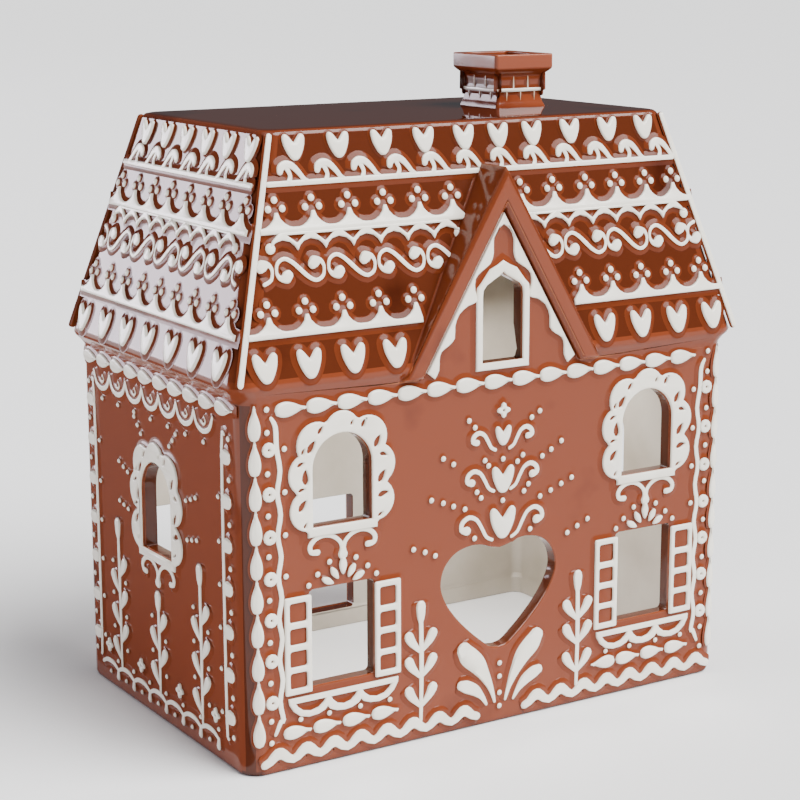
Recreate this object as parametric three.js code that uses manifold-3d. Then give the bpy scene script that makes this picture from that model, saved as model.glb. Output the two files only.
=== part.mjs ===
// A hollow glazed ceramic house: steep four-sided roof with a flat top, a front dormer, a chimney,
// open windows on every side, a heart opening in front, a doorway behind, and raised icing ornament.
// Millimetres, +Z up, the front faces -Y, the origin is under the middle of the house.
import * as THREE from 'three';
import { mergeVertices } from 'three/addons/utils/BufferGeometryUtils.js';
import Module from 'manifold-3d';

const wasm = await Module();
wasm.setup();

// Walls and foot
const WIDTH = 264;
const DEPTH = 168;
const CORNER_RADIUS = 9;
const WALL = 7;
const WALL_TOP = 166.5;
const BOTTOM_EDGE = 2.5;
const FOOT_BAND_HEIGHT = 9;
const FOOT_BAND_PROUD = 1.5;

// Roof
const EAVE_Z = 174.4;
const EAVE_OUT_X = 4.5;
const EAVE_OUT_Y = 3;
const EAVE_RADIUS = 8;
const ROOF_TOP = 278.6;
const FLAT_WIDTH = 215;
const FLAT_DEPTH = 123.6;
const FLAT_RADIUS = 5;
const TOP_EDGE = 1.5;

// Dormer
const GABLE_APEX_Z = 260;
const GABLE_FOOT_Z = 166;
const GABLE_SPREAD = 0.59;
const BOARD_DROP = 18.5;
const BOARD_PROUD = 4.28;
const DORMER_DEPTH = 46;
const DORMER_WINDOW = { half: 11, sill: 172, shoulder: 205.5, apex: 212.5, frame: 2.8 };

// Chimney
const CHIMNEY_X = 58;
const SHAFT = { width: 26, depth: 30, top: 295 };
const CAP = { width: 34, depth: 38, bottom: 297, top: 304 };
const FLUE = { width: 17, depth: 21 };
const CAP_WELL = { width: 25, depth: 29, floor: 299 };
const MORTAR_Z = 287;
const MORTAR = 2.2;
const MORTAR_PROUD = 1.8;
const TICK = 2;

// Openings
const WINDOW_U = 84;
const HIGH_WINDOW = { half: 14.7, sill: 109, top: 149.5 };
const LOW_WINDOW = { half: 16.5, sill: 37, top: 81 };
const GABLE_WINDOW = { half: 15.5, sill: 81.5, top: 124.5 };
const DOOR = { half: 17.5, sill: 9.5, top: 71.5 };
const HEART = { half: 32, tip: 36.8, lobe: 87.6, dip: 84.5 };

// Raised icing
const RELIEF = 1.8;
const SINK = 0.7;
const DROP_PITCH = 15.3;
const DROP_WIDTH = 6.2;
const NECK = 0.5;
const CORNER_DROPS = { u: 126, sink: 3.4, proud: 1.4, count: 10, bottom: 13 };
const SPRIG_U = 44;
const SIDE_SPRIG_U = 43;
const CLOUD_SIDES = 12;
const CROWN_HEIGHT = 9;
const CROWN_BAND = 2.4;
const CROWN_PITCH = 17.8;
const VINE_PITCH = 25.4;
const HOOK_PITCH = 18.35;
const HIP_LINE = 3.3;
const HEART_PITCH = 21.6;
const HIGH_CROWN = { v: 63.2, inner: 18, outer: 117, side: 71 };
const LOW_CROWN = { v: 20, inner: 41.4, outer: 129, side: 80 };

const halfWidth = WIDTH / 2;
const halfDepth = DEPTH / 2;
const eaveHalfX = halfWidth + EAVE_OUT_X;
const eaveHalfY = halfDepth + EAVE_OUT_Y;
const flatHalfX = FLAT_WIDTH / 2;
const flatHalfY = FLAT_DEPTH / 2;
const roofRise = ROOF_TOP - EAVE_Z;

// Joining and cutting

function solidOf(geometry) {
  geometry.deleteAttribute('normal');
  geometry.deleteAttribute('uv');
  const merged = mergeVertices(geometry, 1e-4);
  const vertProperties = new Float32Array(merged.attributes.position.array);
  const triVerts = new Uint32Array(merged.index.array);
  return new wasm.Manifold(new wasm.Mesh({ numProp: 3, vertProperties, triVerts }));
}

function geometryOf(solid) {
  const mesh = solid.getMesh();
  const geometry = new THREE.BufferGeometry();
  geometry.setAttribute('position', new THREE.BufferAttribute(new Float32Array(mesh.vertProperties), 3));
  geometry.setIndex(new THREE.BufferAttribute(new Uint32Array(mesh.triVerts), 1));
  return geometry;
}

function joined(solids) {
  return solids.reduce((whole, solid) => whole.add(solid));
}

// Body of stacked rounded rectangles

function ringPoints({ x, y, radius, z }, steps) {
  const points = [];
  const signs = [[1, 1], [-1, 1], [-1, -1], [1, -1]];
  const centres = signs.map(([signX, signY]) => [signX * (x - radius), signY * (y - radius)]);
  centres.forEach(([cx, cy], corner) => {
    for (let i = 0; i <= steps; i += 1) {
      const angle = (corner + i / steps) * Math.PI / 2;
      points.push(new THREE.Vector3(cx + radius * Math.cos(angle), cy + radius * Math.sin(angle), z));
    }
  });
  return points;
}

function loft(rings, steps = 2) {
  const points = rings.flatMap((ring) => ringPoints(ring, steps));
  const count = 4 * (steps + 1);
  const last = points.length - count;
  const index = [];
  for (let i = 1; i < count - 1; i += 1) {
    index.push(0, i + 1, i);
    index.push(last, last + i, last + i + 1);
  }
  for (let level = 0; level < rings.length - 1; level += 1) {
    for (let i = 0; i < count; i += 1) {
      const a = level * count + i;
      const b = level * count + (i + 1) % count;
      index.push(a, b, b + count);
      index.push(a, b + count, a + count);
    }
  }
  const geometry = new THREE.BufferGeometry().setFromPoints(points);
  geometry.setIndex(index);
  return solidOf(geometry);
}

function roofHalves(z, inward) {
  const part = (z - EAVE_Z) / roofRise;
  const x = eaveHalfX + (flatHalfX - eaveHalfX) * part;
  const y = eaveHalfY + (flatHalfY - eaveHalfY) * part;
  return { x: x - inward, y: y - inward };
}

function outerBody() {
  const lip = EAVE_Z - 1;
  const footRadius = CORNER_RADIUS - BOTTOM_EDGE;
  return loft([
    { x: halfWidth - BOTTOM_EDGE, y: halfDepth - BOTTOM_EDGE, radius: footRadius, z: 0 },
    { x: halfWidth, y: halfDepth, radius: CORNER_RADIUS, z: BOTTOM_EDGE },
    { x: halfWidth, y: halfDepth, radius: CORNER_RADIUS, z: WALL_TOP },
    { x: eaveHalfX, y: eaveHalfY, radius: EAVE_RADIUS, z: lip },
    { x: eaveHalfX, y: eaveHalfY, radius: EAVE_RADIUS, z: EAVE_Z },
    { ...roofHalves(ROOF_TOP - TOP_EDGE, 0), radius: FLAT_RADIUS, z: ROOF_TOP - TOP_EDGE },
    { ...roofHalves(ROOF_TOP, TOP_EDGE), radius: FLAT_RADIUS - TOP_EDGE, z: ROOF_TOP },
  ]);
}

function cavity() {
  const band = WALL + FOOT_BAND_PROUD;
  const slopeWall = WALL * 1.04;
  const flare = EAVE_Z + 1.5;
  const ceiling = ROOF_TOP - WALL;
  const inner = CORNER_RADIUS - 4;
  return loft([
    { x: halfWidth - band, y: halfDepth - band, radius: inner, z: -1 },
    { x: halfWidth - band, y: halfDepth - band, radius: inner, z: FOOT_BAND_HEIGHT },
    { x: halfWidth - WALL, y: halfDepth - WALL, radius: inner, z: FOOT_BAND_HEIGHT + 2 },
    { x: halfWidth - WALL, y: halfDepth - WALL, radius: inner, z: WALL_TOP + 3 },
    { ...roofHalves(flare, slopeWall), radius: inner, z: flare },
    { ...roofHalves(ceiling, slopeWall), radius: inner, z: ceiling },
  ], 2);
}

// Faces that carry openings and ornament, each with u to the right, v up and the normal outwards

function faceFrame(origin, right, up) {
  const normal = new THREE.Vector3().crossVectors(right, up);
  return new THREE.Matrix4().makeBasis(right, up, normal).setPosition(origin);
}

function wallFrame(x, y, rightX, rightY) {
  const right = new THREE.Vector3(rightX, rightY, 0);
  return faceFrame(new THREE.Vector3(x, y, 0), right, new THREE.Vector3(0, 0, 1));
}

function slopeFrame(x, y, rightX, rightY, run) {
  const length = Math.hypot(run, roofRise);
  const inwards = new THREE.Vector3(-Math.sign(x), -Math.sign(y), 0);
  const up = inwards.multiplyScalar(run / length).setZ(roofRise / length);
  return faceFrame(new THREE.Vector3(x, y, EAVE_Z), new THREE.Vector3(rightX, rightY, 0), up);
}

const FRONT = wallFrame(0, -halfDepth, 1, 0);
const BACK = wallFrame(0, halfDepth, -1, 0);
const LEFT = wallFrame(-halfWidth, 0, 0, -1);
const RIGHT = wallFrame(halfWidth, 0, 0, 1);
const ROOF_FRONT = slopeFrame(0, -eaveHalfY, 1, 0, eaveHalfY - flatHalfY);
const ROOF_BACK = slopeFrame(0, eaveHalfY, -1, 0, eaveHalfY - flatHalfY);
const ROOF_LEFT = slopeFrame(-eaveHalfX, 0, 0, -1, eaveHalfX - flatHalfX);
const ROOF_RIGHT = slopeFrame(eaveHalfX, 0, 0, 1, eaveHalfX - flatHalfX);

function prism(shape, frame, bottom, top, { u = 0, v = 0, turn = 0, curveSegments = 4 } = {}) {
  const settings = { depth: top - bottom, bevelEnabled: false, curveSegments };
  const geometry = new THREE.ExtrudeGeometry(shape, settings);
  geometry.rotateZ(turn);
  geometry.translate(u, v, bottom);
  geometry.applyMatrix4(frame);
  return solidOf(geometry);
}

function raised(shape, frame, place = {}) {
  return prism(shape, frame, -SINK, RELIEF, place);
}

function pierced(shape, holes, frame, place) {
  const cuts = holes.map((hole) => prism(hole, frame, -SINK - 1, RELIEF + 1, place));
  return cuts.reduce((whole, cut) => whole.subtract(cut), raised(shape, frame, place));
}

function through(shape, frame, place = {}) {
  return prism(shape, frame, -WALL - 8, 12, { curveSegments: 6, ...place });
}

// Outlines

function polygon(pairs) {
  return new THREE.Shape(pairs.map(([x, y]) => new THREE.Vector2(x, y)));
}

function rectangle(left, bottom, right, top) {
  return polygon([[left, bottom], [right, bottom], [right, top], [left, top]]);
}

function archOutline({ half, sill, top }, margin = 0) {
  const reach = half + margin;
  const spring = top - half;
  const shape = new THREE.Shape();
  shape.moveTo(-reach, sill - margin);
  shape.lineTo(reach, sill - margin);
  shape.lineTo(reach, spring);
  shape.absarc(0, spring, reach, 0, Math.PI, false);
  shape.closePath();
  return shape;
}

function ogeeOutline({ half, sill, shoulder, apex }, margin = 0) {
  const reach = half + margin;
  const shape = new THREE.Shape();
  shape.moveTo(-reach, sill - margin);
  shape.lineTo(reach, sill - margin);
  shape.lineTo(reach, shoulder - 2);
  shape.quadraticCurveTo(reach * 0.85, shoulder + margin, reach * 0.4, apex - 3 + margin);
  shape.lineTo(0, apex + 1.7 * margin);
  shape.lineTo(-reach * 0.4, apex - 3 + margin);
  shape.quadraticCurveTo(-reach * 0.85, shoulder + margin, -reach, shoulder - 2);
  shape.closePath();
  return shape;
}

function heartOpening({ half, tip, lobe, dip }) {
  const widest = tip + 0.68 * (lobe - tip);
  const shape = new THREE.Shape();
  shape.moveTo(0, dip);
  shape.bezierCurveTo(6, dip + 1.5, 10, lobe, 0.47 * half, lobe);
  shape.bezierCurveTo(0.8 * half, lobe, half, lobe - 8, half, widest);
  shape.bezierCurveTo(half, widest - 9, 0.6 * half, tip + 12, 0.28 * half, tip + 4.5);
  shape.quadraticCurveTo(0.13 * half, tip, 0, tip);
  shape.quadraticCurveTo(-0.13 * half, tip, -0.28 * half, tip + 4.5);
  shape.bezierCurveTo(-0.6 * half, tip + 12, -half, widest - 9, -half, widest);
  shape.bezierCurveTo(-half, lobe - 8, -0.8 * half, lobe, -0.47 * half, lobe);
  shape.bezierCurveTo(-10, lobe, -6, dip + 1.5, 0, dip);
  return shape;
}

function heartOutline(width, height) {
  const outline = [[0, 0.28], [0.3, 0.5], [0.5, 0.24], [0, -0.5], [-0.5, 0.24], [-0.3, 0.5]];
  return polygon(outline.map(([x, y]) => [x * width, y * height]));
}

function strokeOutline(pairs, startWidth, endWidth, steps) {
  const curve = new THREE.SplineCurve(pairs.map(([x, y]) => new THREE.Vector2(x, y)));
  const near = [];
  const far = [];
  for (let i = 0; i <= steps; i += 1) {
    const t = i / steps;
    const point = curve.getPoint(t);
    const tangent = curve.getTangent(t);
    const half = (startWidth + (endWidth - startWidth) * t) / 2;
    near.push([point.x - tangent.y * half, point.y + tangent.x * half]);
    far.unshift([point.x + tangent.y * half, point.y - tangent.x * half]);
  }
  return polygon([...near, ...far]);
}

function mirrored(pairs) {
  return pairs.map(([x, y]) => [-x, y]);
}

function bothSides(rightSide) {
  return polygon([...rightSide, ...mirrored(rightSide).reverse()]);
}

// Icing along walls

function beadedOutline(count, pitch) {
  const top = [];
  for (let i = 0; i < count; i += 1) {
    top.push([i * pitch, NECK], [(i + 0.34) * pitch, DROP_WIDTH / 2]);
  }
  top.push([count * pitch, NECK]);
  return polygon([...top.map(([x, y]) => [x, -y]), ...top.reverse()]);
}

function garland(frame, v, middle, count) {
  return raised(beadedOutline(count, DROP_PITCH), frame, { u: middle - count * DROP_PITCH / 2, v });
}

function cornerGarland(frame, u) {
  const { bottom, count, sink, proud } = CORNER_DROPS;
  const column = beadedOutline(count, DROP_PITCH);
  return prism(column, frame, -sink, proud, { u, v: bottom, turn: Math.PI / 2 });
}

function borderLine(frame, u, bottom, top) {
  return raised(rectangle(u - 1.3, bottom, u + 1.3, top), frame);
}

function waveOutline(start, end, waves, middle, swing, thick, thin) {
  const steps = waves * 2;
  const top = [];
  const bottom = [];
  for (let i = 0; i <= steps; i += 1) {
    const u = start + (end - start) * i / steps;
    const rise = i % 2 === 0 ? -1 : 1;
    const half = (rise > 0 ? thick : thin) / 2;
    top.push([u, middle + swing * rise + half]);
    bottom.unshift([u, middle + swing * rise - half]);
  }
  return polygon([...bottom, ...top]);
}

// Windows and their icing

function cloudOutline(lobes, centre, sides) {
  const points = [];
  for (let i = 0; i < sides; i += 1) {
    const angle = 2 * Math.PI * i / sides;
    const ray = [Math.cos(angle), Math.sin(angle)];
    const reach = Math.max(...lobes.map(([x, y, radius]) => {
      const along = x * ray[0] + (y - centre) * ray[1];
      const across = x * x + (y - centre) ** 2 - along * along;
      return across < radius * radius ? along + Math.sqrt(radius * radius - across) : 0;
    }));
    points.push([reach * ray[0], centre + reach * ray[1]]);
  }
  return polygon(points);
}

function laceFrame(frame, u, opening) {
  const middle = (opening.sill + opening.top) / 2;
  const right = [[12.8, opening.top - 3.5, 9.7], [17, middle + 4, 9.5], [16.6, middle - 12, 9.5]];
  const left = right.map(([x, y, radius]) => [-x, y, radius]);
  const lobes = [[0, opening.top + 1, 8.5], ...right, ...left];
  const bar = rectangle(-opening.half - 2.6, opening.sill - 3.8, opening.half + 2.6, opening.sill + 2);
  return [
    raised(cloudOutline(lobes, middle, CLOUD_SIDES), frame, { u }),
    raised(bar, frame, { u }),
    bracket(frame, u, opening.sill - 12),
  ];
}

function bracket(frame, u, v) {
  const arm = [[2.6, 0.6], [7, 5.2], [13.4, 0.4], [17.4, 3], [9, 8.6]];
  return raised(polygon([[0, -3], ...arm, [0, 4.6], ...mirrored(arm).reverse()]), frame, { u, v });
}

function shutter(frame, u) {
  const { sill, top } = LOW_WINDOW;
  const half = 6.3;
  const rail = 2;
  const low = sill - 1.5;
  const high = top - 1.5;
  const pane = (high - low - 5 * rail) / 4;
  const panes = [];
  for (let i = 0; i < 4; i += 1) {
    const foot = low + rail + i * (pane + rail);
    panes.push(rectangle(rail - half, foot, half - rail, foot + pane));
  }
  return pierced(rectangle(-half, low, half, high), panes, frame, { u });
}

function planter(frame, u) {
  const shape = bothSides([[0, 24.4], [8.5, 27.6], [16.5, 24.6], [25, 27.4], [28, 33.4]]);
  const pocket = [[-6.6, 31.2], [-3.4, 27.4], [3.4, 27.4], [6.6, 31.2]];
  const pockets = [-16.5, 0, 16.5].map((centre) => polygon(pocket.map(([x, y]) => [centre + x, y])));
  return pierced(shape, pockets, frame, { u });
}

function lowWindowIcing(frame, u) {
  return [
    shutter(frame, u - LOW_WINDOW.half - 6.4),
    shutter(frame, u + LOW_WINDOW.half + 6.4),
    planter(frame, u),
  ];
}

// Plants, hearts and scrolls

function sprig(frame, u, foot, leaves, top) {
  const half = 1.2;
  const side = [[half, foot]];
  for (const height of leaves) {
    side.push([half, height - 7], [7.6, height], [half, height - 2]);
  }
  side.push([half, top - 9], [2.9, top - 3.4]);
  return raised(polygon([...side, [0, top], ...mirrored(side).reverse()]), frame, { u });
}

function comma(frame, pairs, head, tail) {
  return [
    raised(strokeOutline(pairs, head, tail, 3), frame),
    raised(strokeOutline(mirrored(pairs), head, tail, 3), frame),
  ];
}

function scrollPair(frame, v, size) {
  const curl = [[-3.2, -6.4], [-6.8, -4.6], [-9.6, 1.4], [-13.8, 4.4], [-17.4, 3.4], [-17.8, -0.6]];
  const scaled = curl.map(([x, y]) => [x * size, y * size]);
  return [
    raised(strokeOutline(scaled, 2.4, 5 * size, 4), frame, { v }),
    raised(strokeOutline(mirrored(scaled), 2.4, 5 * size, 4), frame, { v }),
  ];
}

function heartAndScrolls(frame, v, heart, size) {
  return [raised(heartOutline(heart, heart * 1.06), frame, { v }), ...scrollPair(frame, v + 0.5, size)];
}

function longWallIcing(frame) {
  return [
    garland(frame, 163, 0, 15),
    cornerGarland(frame, -CORNER_DROPS.u),
    cornerGarland(frame, CORNER_DROPS.u),
    borderLine(frame, -115.5, 19, 158),
    borderLine(frame, 115.5, 19, 158),
    ...laceFrame(frame, -WINDOW_U, HIGH_WINDOW),
    ...laceFrame(frame, WINDOW_U, HIGH_WINDOW),
    ...lowWindowIcing(frame, -WINDOW_U),
    ...lowWindowIcing(frame, WINDOW_U),
    raised(waveOutline(-124, -13, 8, 8.1, 2, 5.4, 3.6), frame),
    raised(waveOutline(13, 124, 8, 8.1, 2, 5.4, 3.6), frame),
    sprig(frame, -SPRIG_U, 9, [28, 39.5, 52.5], 67),
    sprig(frame, SPRIG_U, 9, [28, 39.5, 52.5], 67),
  ];
}

function frontIcing() {
  return [
    ...longWallIcing(FRONT),
    ...heartAndScrolls(FRONT, 96.5, 13.4, 1.15),
    ...heartAndScrolls(FRONT, 116.5, 11.4, 0.98),
    ...heartAndScrolls(FRONT, 137.5, 8.4, 0.8),
    ...comma(FRONT, [[-19.5, 37.5], [-10.5, 31.5], [-5.5, 21], [-3, 11.5]], 8.6, 1.6),
    ...comma(FRONT, [[-20, 21], [-13.5, 17.6], [-8, 11]], 6, 1.6),
  ];
}

function doorIcing() {
  const { half, sill, top } = DOOR;
  const frame = rectangle(-half - 4.5, sill, half + 4.5, top + 4.5);
  const gap = rectangle(-half - 1.5, sill - 1, half + 1.5, top + 1.5);
  const arch = [];
  for (let i = 0; i <= 8; i += 1) {
    const angle = Math.PI * (1 - i / 8);
    arch.push([24.5 * Math.cos(angle), 78 + 15 * Math.sin(angle)]);
  }
  return [pierced(frame, [gap], BACK, {}), raised(strokeOutline(arch, 3, 3, 8), BACK)];
}

function backIcing() {
  return [
    ...longWallIcing(BACK),
    ...doorIcing(),
    ...heartAndScrolls(BACK, 108, 11.4, 0.98),
    ...heartAndScrolls(BACK, 129, 8.4, 0.8),
  ];
}

function sideIcing(frame) {
  const tall = [37, 54, 70];
  return [
    garland(frame, 163, 0, 9),
    borderLine(frame, -68, 12, 155),
    borderLine(frame, 68, 12, 155),
    ...laceFrame(frame, 0, GABLE_WINDOW),
    sprig(frame, -SIDE_SPRIG_U, 12, tall, 88),
    sprig(frame, 0, 12, [34, 49], 64),
    sprig(frame, SIDE_SPRIG_U, 12, tall, 88),
  ];
}

// Roof icing

function crown(frame, v, peaks, start, end) {
  const points = [[start, v], [end, v]];
  for (const peak of [...peaks].reverse()) {
    points.push([peak + CROWN_PITCH / 2, v + CROWN_BAND], [peak, v + CROWN_HEIGHT]);
  }
  points.push([peaks[0] - CROWN_PITCH / 2, v + CROWN_BAND]);
  return raised(polygon(points), frame);
}

function hookRow(frame, crests, lean, end) {
  const hook = [[-1.2, 85.3], [-6.2, 92], [1.4, 95.4], [7, 85.3]];
  const points = [[-end, 83]];
  for (const crest of lean > 0 ? crests : [...crests].reverse()) {
    points.push(...hook.map(([x, y]) => [lean * crest + x, y]));
  }
  points.push([end, 83]);
  return raised(polygon(points.map(([x, y]) => [lean * x, y])), frame);
}

function vine(frame, start, end) {
  const waves = Math.round((end - start) / VINE_PITCH);
  return raised(waveOutline(start, end, waves, 47.5, 3.2, 4, 4), frame);
}

function hipLine(frame, side, bottomHalf, topHalf, length) {
  const lean = (topHalf - bottomHalf) / length;
  const edge = (v, inset) => [side * (bottomHalf + lean * v - inset), v];
  const low = 2;
  const high = length - 1;
  const corners = [edge(low, HIP_LINE), edge(low, 0.4), edge(high, 0.4), edge(high, HIP_LINE)];
  return raised(polygon(corners), frame);
}

function evenly(count, pitch, middle = 0) {
  return Array.from({ length: count }, (_, i) => middle + (i - (count - 1) / 2) * pitch);
}

function hearts(frame, v, places, width, height) {
  const shape = heartOutline(width, height);
  return places.map((u) => raised(shape, frame, { u, v }));
}

function crownHalves(frame, v, inner, outer) {
  const peaks = evenly(15, CROWN_PITCH).filter((u) => u > inner + 2 && u < outer - 3);
  const left = peaks.map((u) => -u).reverse();
  return [crown(frame, v, left, -outer, -inner), crown(frame, v, peaks, inner, outer)];
}

function longSlopeIcing(frame) {
  const length = Math.hypot(eaveHalfY - flatHalfY, roofRise);
  return [
    hookRow(frame, evenly(12, HOOK_PITCH), 1, 111),
    hipLine(frame, -1, eaveHalfX - 1, flatHalfX - 1, length),
    hipLine(frame, 1, eaveHalfX - 1, flatHalfX - 1, length),
  ];
}

function frontSlopeIcing() {
  const clearOfDormer = evenly(12, HEART_PITCH).filter((u) => Math.abs(u) > HIGH_CROWN.inner * 2.6);
  return [
    ...longSlopeIcing(ROOF_FRONT),
    ...hearts(ROOF_FRONT, 8.6, clearOfDormer, 11, 12.6),
    ...crownHalves(ROOF_FRONT, HIGH_CROWN.v, HIGH_CROWN.inner, HIGH_CROWN.outer),
    ...crownHalves(ROOF_FRONT, LOW_CROWN.v, LOW_CROWN.inner, LOW_CROWN.outer),
    vine(ROOF_FRONT, -121, -28),
    vine(ROOF_FRONT, 28, 121),
  ];
}

function backSlopeIcing() {
  return [
    ...longSlopeIcing(ROOF_BACK),
    ...hearts(ROOF_BACK, 8.6, evenly(12, HEART_PITCH), 11, 12.6),
    crown(ROOF_BACK, HIGH_CROWN.v, evenly(13, CROWN_PITCH), -HIGH_CROWN.outer, HIGH_CROWN.outer),
    crown(ROOF_BACK, LOW_CROWN.v, evenly(15, CROWN_PITCH), -LOW_CROWN.outer, LOW_CROWN.outer),
    vine(ROOF_BACK, -121, 121),
  ];
}

function shortSlopeIcing(frame, lean) {
  return [
    ...hearts(frame, 9, evenly(7, 23.3), 11.4, 13),
    hookRow(frame, evenly(7, HOOK_PITCH - 0.5), -lean, 64),
    crown(frame, HIGH_CROWN.v, evenly(8, CROWN_PITCH), -HIGH_CROWN.side, HIGH_CROWN.side),
    crown(frame, LOW_CROWN.v, evenly(9, CROWN_PITCH), -LOW_CROWN.side, LOW_CROWN.side),
    vine(frame, -73, 73),
  ];
}

// Dormer

function gableOutline(apex, foot) {
  const half = (apex - foot) * GABLE_SPREAD;
  return polygon([[-half, foot], [half, foot], [0, apex]]);
}

function dormerBlock() {
  const bottom = EAVE_Z - 6;
  return prism(gableOutline(GABLE_APEX_Z, bottom), FRONT, -DORMER_DEPTH, BOARD_PROUD);
}

function dormerRecess() {
  return prism(gableOutline(GABLE_APEX_Z - BOARD_DROP, GABLE_FOOT_Z), FRONT, 0, 12);
}

function dormerCavity() {
  const inset = WALL / Math.sin(Math.atan(GABLE_SPREAD));
  return prism(gableOutline(GABLE_APEX_Z - inset, EAVE_Z + 1.5), FRONT, -DORMER_DEPTH, -WALL);
}

function bargeIcing(side) {
  const line = (z) => (GABLE_APEX_Z - BOARD_DROP - z) * GABLE_SPREAD;
  const outer = [237, 216, 196, 171].map((z) => [side * (line(z) + 0.8), z]);
  const wave = [[34, 171], [32.5, 179], [25, 183.5], [24.6, 191], [20.5, 198.5], [13.2, 201.4]];
  const peak = [[15.4, 208], [12.4, 214], [5.6, 217.5], [5.2, 224.5], [3, 232], [0.2, 234.5]];
  const inner = [...wave, ...peak].map(([x, z]) => [side * x, z]);
  return raised(polygon([[0, 239.5], ...outer, ...inner, [0, 234.5]]), FRONT);
}

function dormerIcing() {
  const frame = ogeeOutline(DORMER_WINDOW, DORMER_WINDOW.frame);
  return [raised(frame, FRONT, { curveSegments: 3 }), bargeIcing(-1), bargeIcing(1)];
}

// Chimney

function upright(width, depth, bottom, top) {
  const geometry = new THREE.BoxGeometry(width, depth, top - bottom);
  geometry.translate(CHIMNEY_X, 0, (top + bottom) / 2);
  return solidOf(geometry);
}

function chimney() {
  const shaft = { x: SHAFT.width / 2, y: SHAFT.depth / 2, radius: 1.5 };
  const cap = { x: CAP.width / 2, y: CAP.depth / 2, radius: 2 };
  const shaftRing = (grow, z) => ({ ...shaft, x: shaft.x + grow, y: shaft.y + grow, z });
  const stack = loft([
    shaftRing(1.4, ROOF_TOP - 3),
    shaftRing(0.8, ROOF_TOP + 1),
    shaftRing(0, ROOF_TOP + 4),
    shaftRing(0, SHAFT.top - 2),
    shaftRing(1, SHAFT.top),
    { ...cap, z: CAP.bottom },
    { ...cap, z: CAP.top },
  ], 1).translate([CHIMNEY_X, 0, 0]);
  const width = SHAFT.width + MORTAR_PROUD;
  const depth = SHAFT.depth + MORTAR_PROUD;
  return stack.add(upright(width, depth, MORTAR_Z - MORTAR / 2, MORTAR_Z + MORTAR / 2));
}

function mortarTicks() {
  const top = SHAFT.top - 1;
  const height = top - MORTAR_Z;
  return [-1, 1].flatMap((side) => {
    const across = new THREE.BoxGeometry(TICK, SHAFT.depth + MORTAR_PROUD, height);
    const along = new THREE.BoxGeometry(SHAFT.width + MORTAR_PROUD, TICK, height);
    across.translate(CHIMNEY_X + side * SHAFT.width / 4, 0, MORTAR_Z + height / 2);
    along.translate(CHIMNEY_X, side * SHAFT.depth / 4, MORTAR_Z + height / 2);
    return [solidOf(across), solidOf(along)];
  });
}

// The whole house

function openings() {
  const high = archOutline(HIGH_WINDOW);
  const low = rectangle(-LOW_WINDOW.half, LOW_WINDOW.sill, LOW_WINDOW.half, LOW_WINDOW.top);
  const gable = archOutline(GABLE_WINDOW);
  const cuts = [];
  for (const frame of [FRONT, BACK]) {
    for (const u of [-WINDOW_U, WINDOW_U]) {
      cuts.push(through(high, frame, { u }), through(low, frame, { u }));
    }
  }
  cuts.push(through(gable, LEFT), through(gable, RIGHT));
  cuts.push(through(heartOpening(HEART), FRONT, { curveSegments: 3 }));
  cuts.push(through(rectangle(-DOOR.half, DOOR.sill, DOOR.half, DOOR.top), BACK));
  cuts.push(through(ogeeOutline(DORMER_WINDOW), FRONT, { curveSegments: 3 }));
  cuts.push(upright(FLUE.width, FLUE.depth, ROOF_TOP - WALL - 5, CAP.top + 5));
  cuts.push(upright(CAP_WELL.width, CAP_WELL.depth, CAP_WELL.floor, CAP.top + 5));
  return cuts;
}

function houseSolid() {
  const outside = joined([outerBody(), dormerBlock()]).subtract(dormerRecess());
  const icing = [
    ...frontIcing(),
    ...backIcing(),
    ...sideIcing(LEFT),
    ...sideIcing(RIGHT),
    ...frontSlopeIcing(),
    ...backSlopeIcing(),
    ...shortSlopeIcing(ROOF_LEFT, 1),
    ...shortSlopeIcing(ROOF_RIGHT, -1),
    ...dormerIcing(),
  ];
  const clad = joined([outside, ...icing, chimney(), ...mortarTicks()]);
  return [cavity(), dormerCavity(), ...openings()].reduce((whole, cut) => whole.subtract(cut), clad);
}

const glazedClay = new THREE.MeshStandardMaterial({ color: 0x9c5640, roughness: 0.15, metalness: 0 });
const house = new THREE.Mesh(geometryOf(houseSolid()), glazedClay);
house.name = 'house';

const model = new THREE.Group();
model.name = 'gingerbread_house';
model.add(house);

export default model;
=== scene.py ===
"""A hollow gingerbread house of glazed ceramic, with raised white icing on walls and roof.

Sizes are in millimetres until a piece is placed; the frame is in metres, +Z up, the front faces -Y.
"""
import sys

import logging
import math
from dataclasses import dataclass, field
from enum import Enum
from typing import Callable, Iterable, Sequence

import bpy
from mathutils import Matrix, Vector


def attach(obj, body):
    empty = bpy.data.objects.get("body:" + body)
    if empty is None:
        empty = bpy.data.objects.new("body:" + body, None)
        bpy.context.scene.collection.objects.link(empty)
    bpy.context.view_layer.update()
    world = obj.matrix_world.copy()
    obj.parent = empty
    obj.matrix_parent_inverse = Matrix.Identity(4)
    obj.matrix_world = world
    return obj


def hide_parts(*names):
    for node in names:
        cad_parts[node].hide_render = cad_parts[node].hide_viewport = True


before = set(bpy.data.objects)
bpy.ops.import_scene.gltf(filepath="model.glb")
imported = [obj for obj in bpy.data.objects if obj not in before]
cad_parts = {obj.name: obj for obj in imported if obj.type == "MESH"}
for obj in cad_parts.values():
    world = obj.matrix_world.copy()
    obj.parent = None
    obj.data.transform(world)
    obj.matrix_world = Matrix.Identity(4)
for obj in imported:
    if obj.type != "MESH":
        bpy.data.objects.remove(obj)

LOG = logging.getLogger("gingerbread_house")
MM = 0.001

Point = tuple[float, float]
Colour = tuple[float, float, float]
Mesh = bpy.types.Mesh
Thing = bpy.types.Object
Material = bpy.types.Material
Socket = bpy.types.NodeSocket

BLACK = (0.0, 0.0, 0.0)
WHITE = (1.0, 1.0, 1.0)

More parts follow.
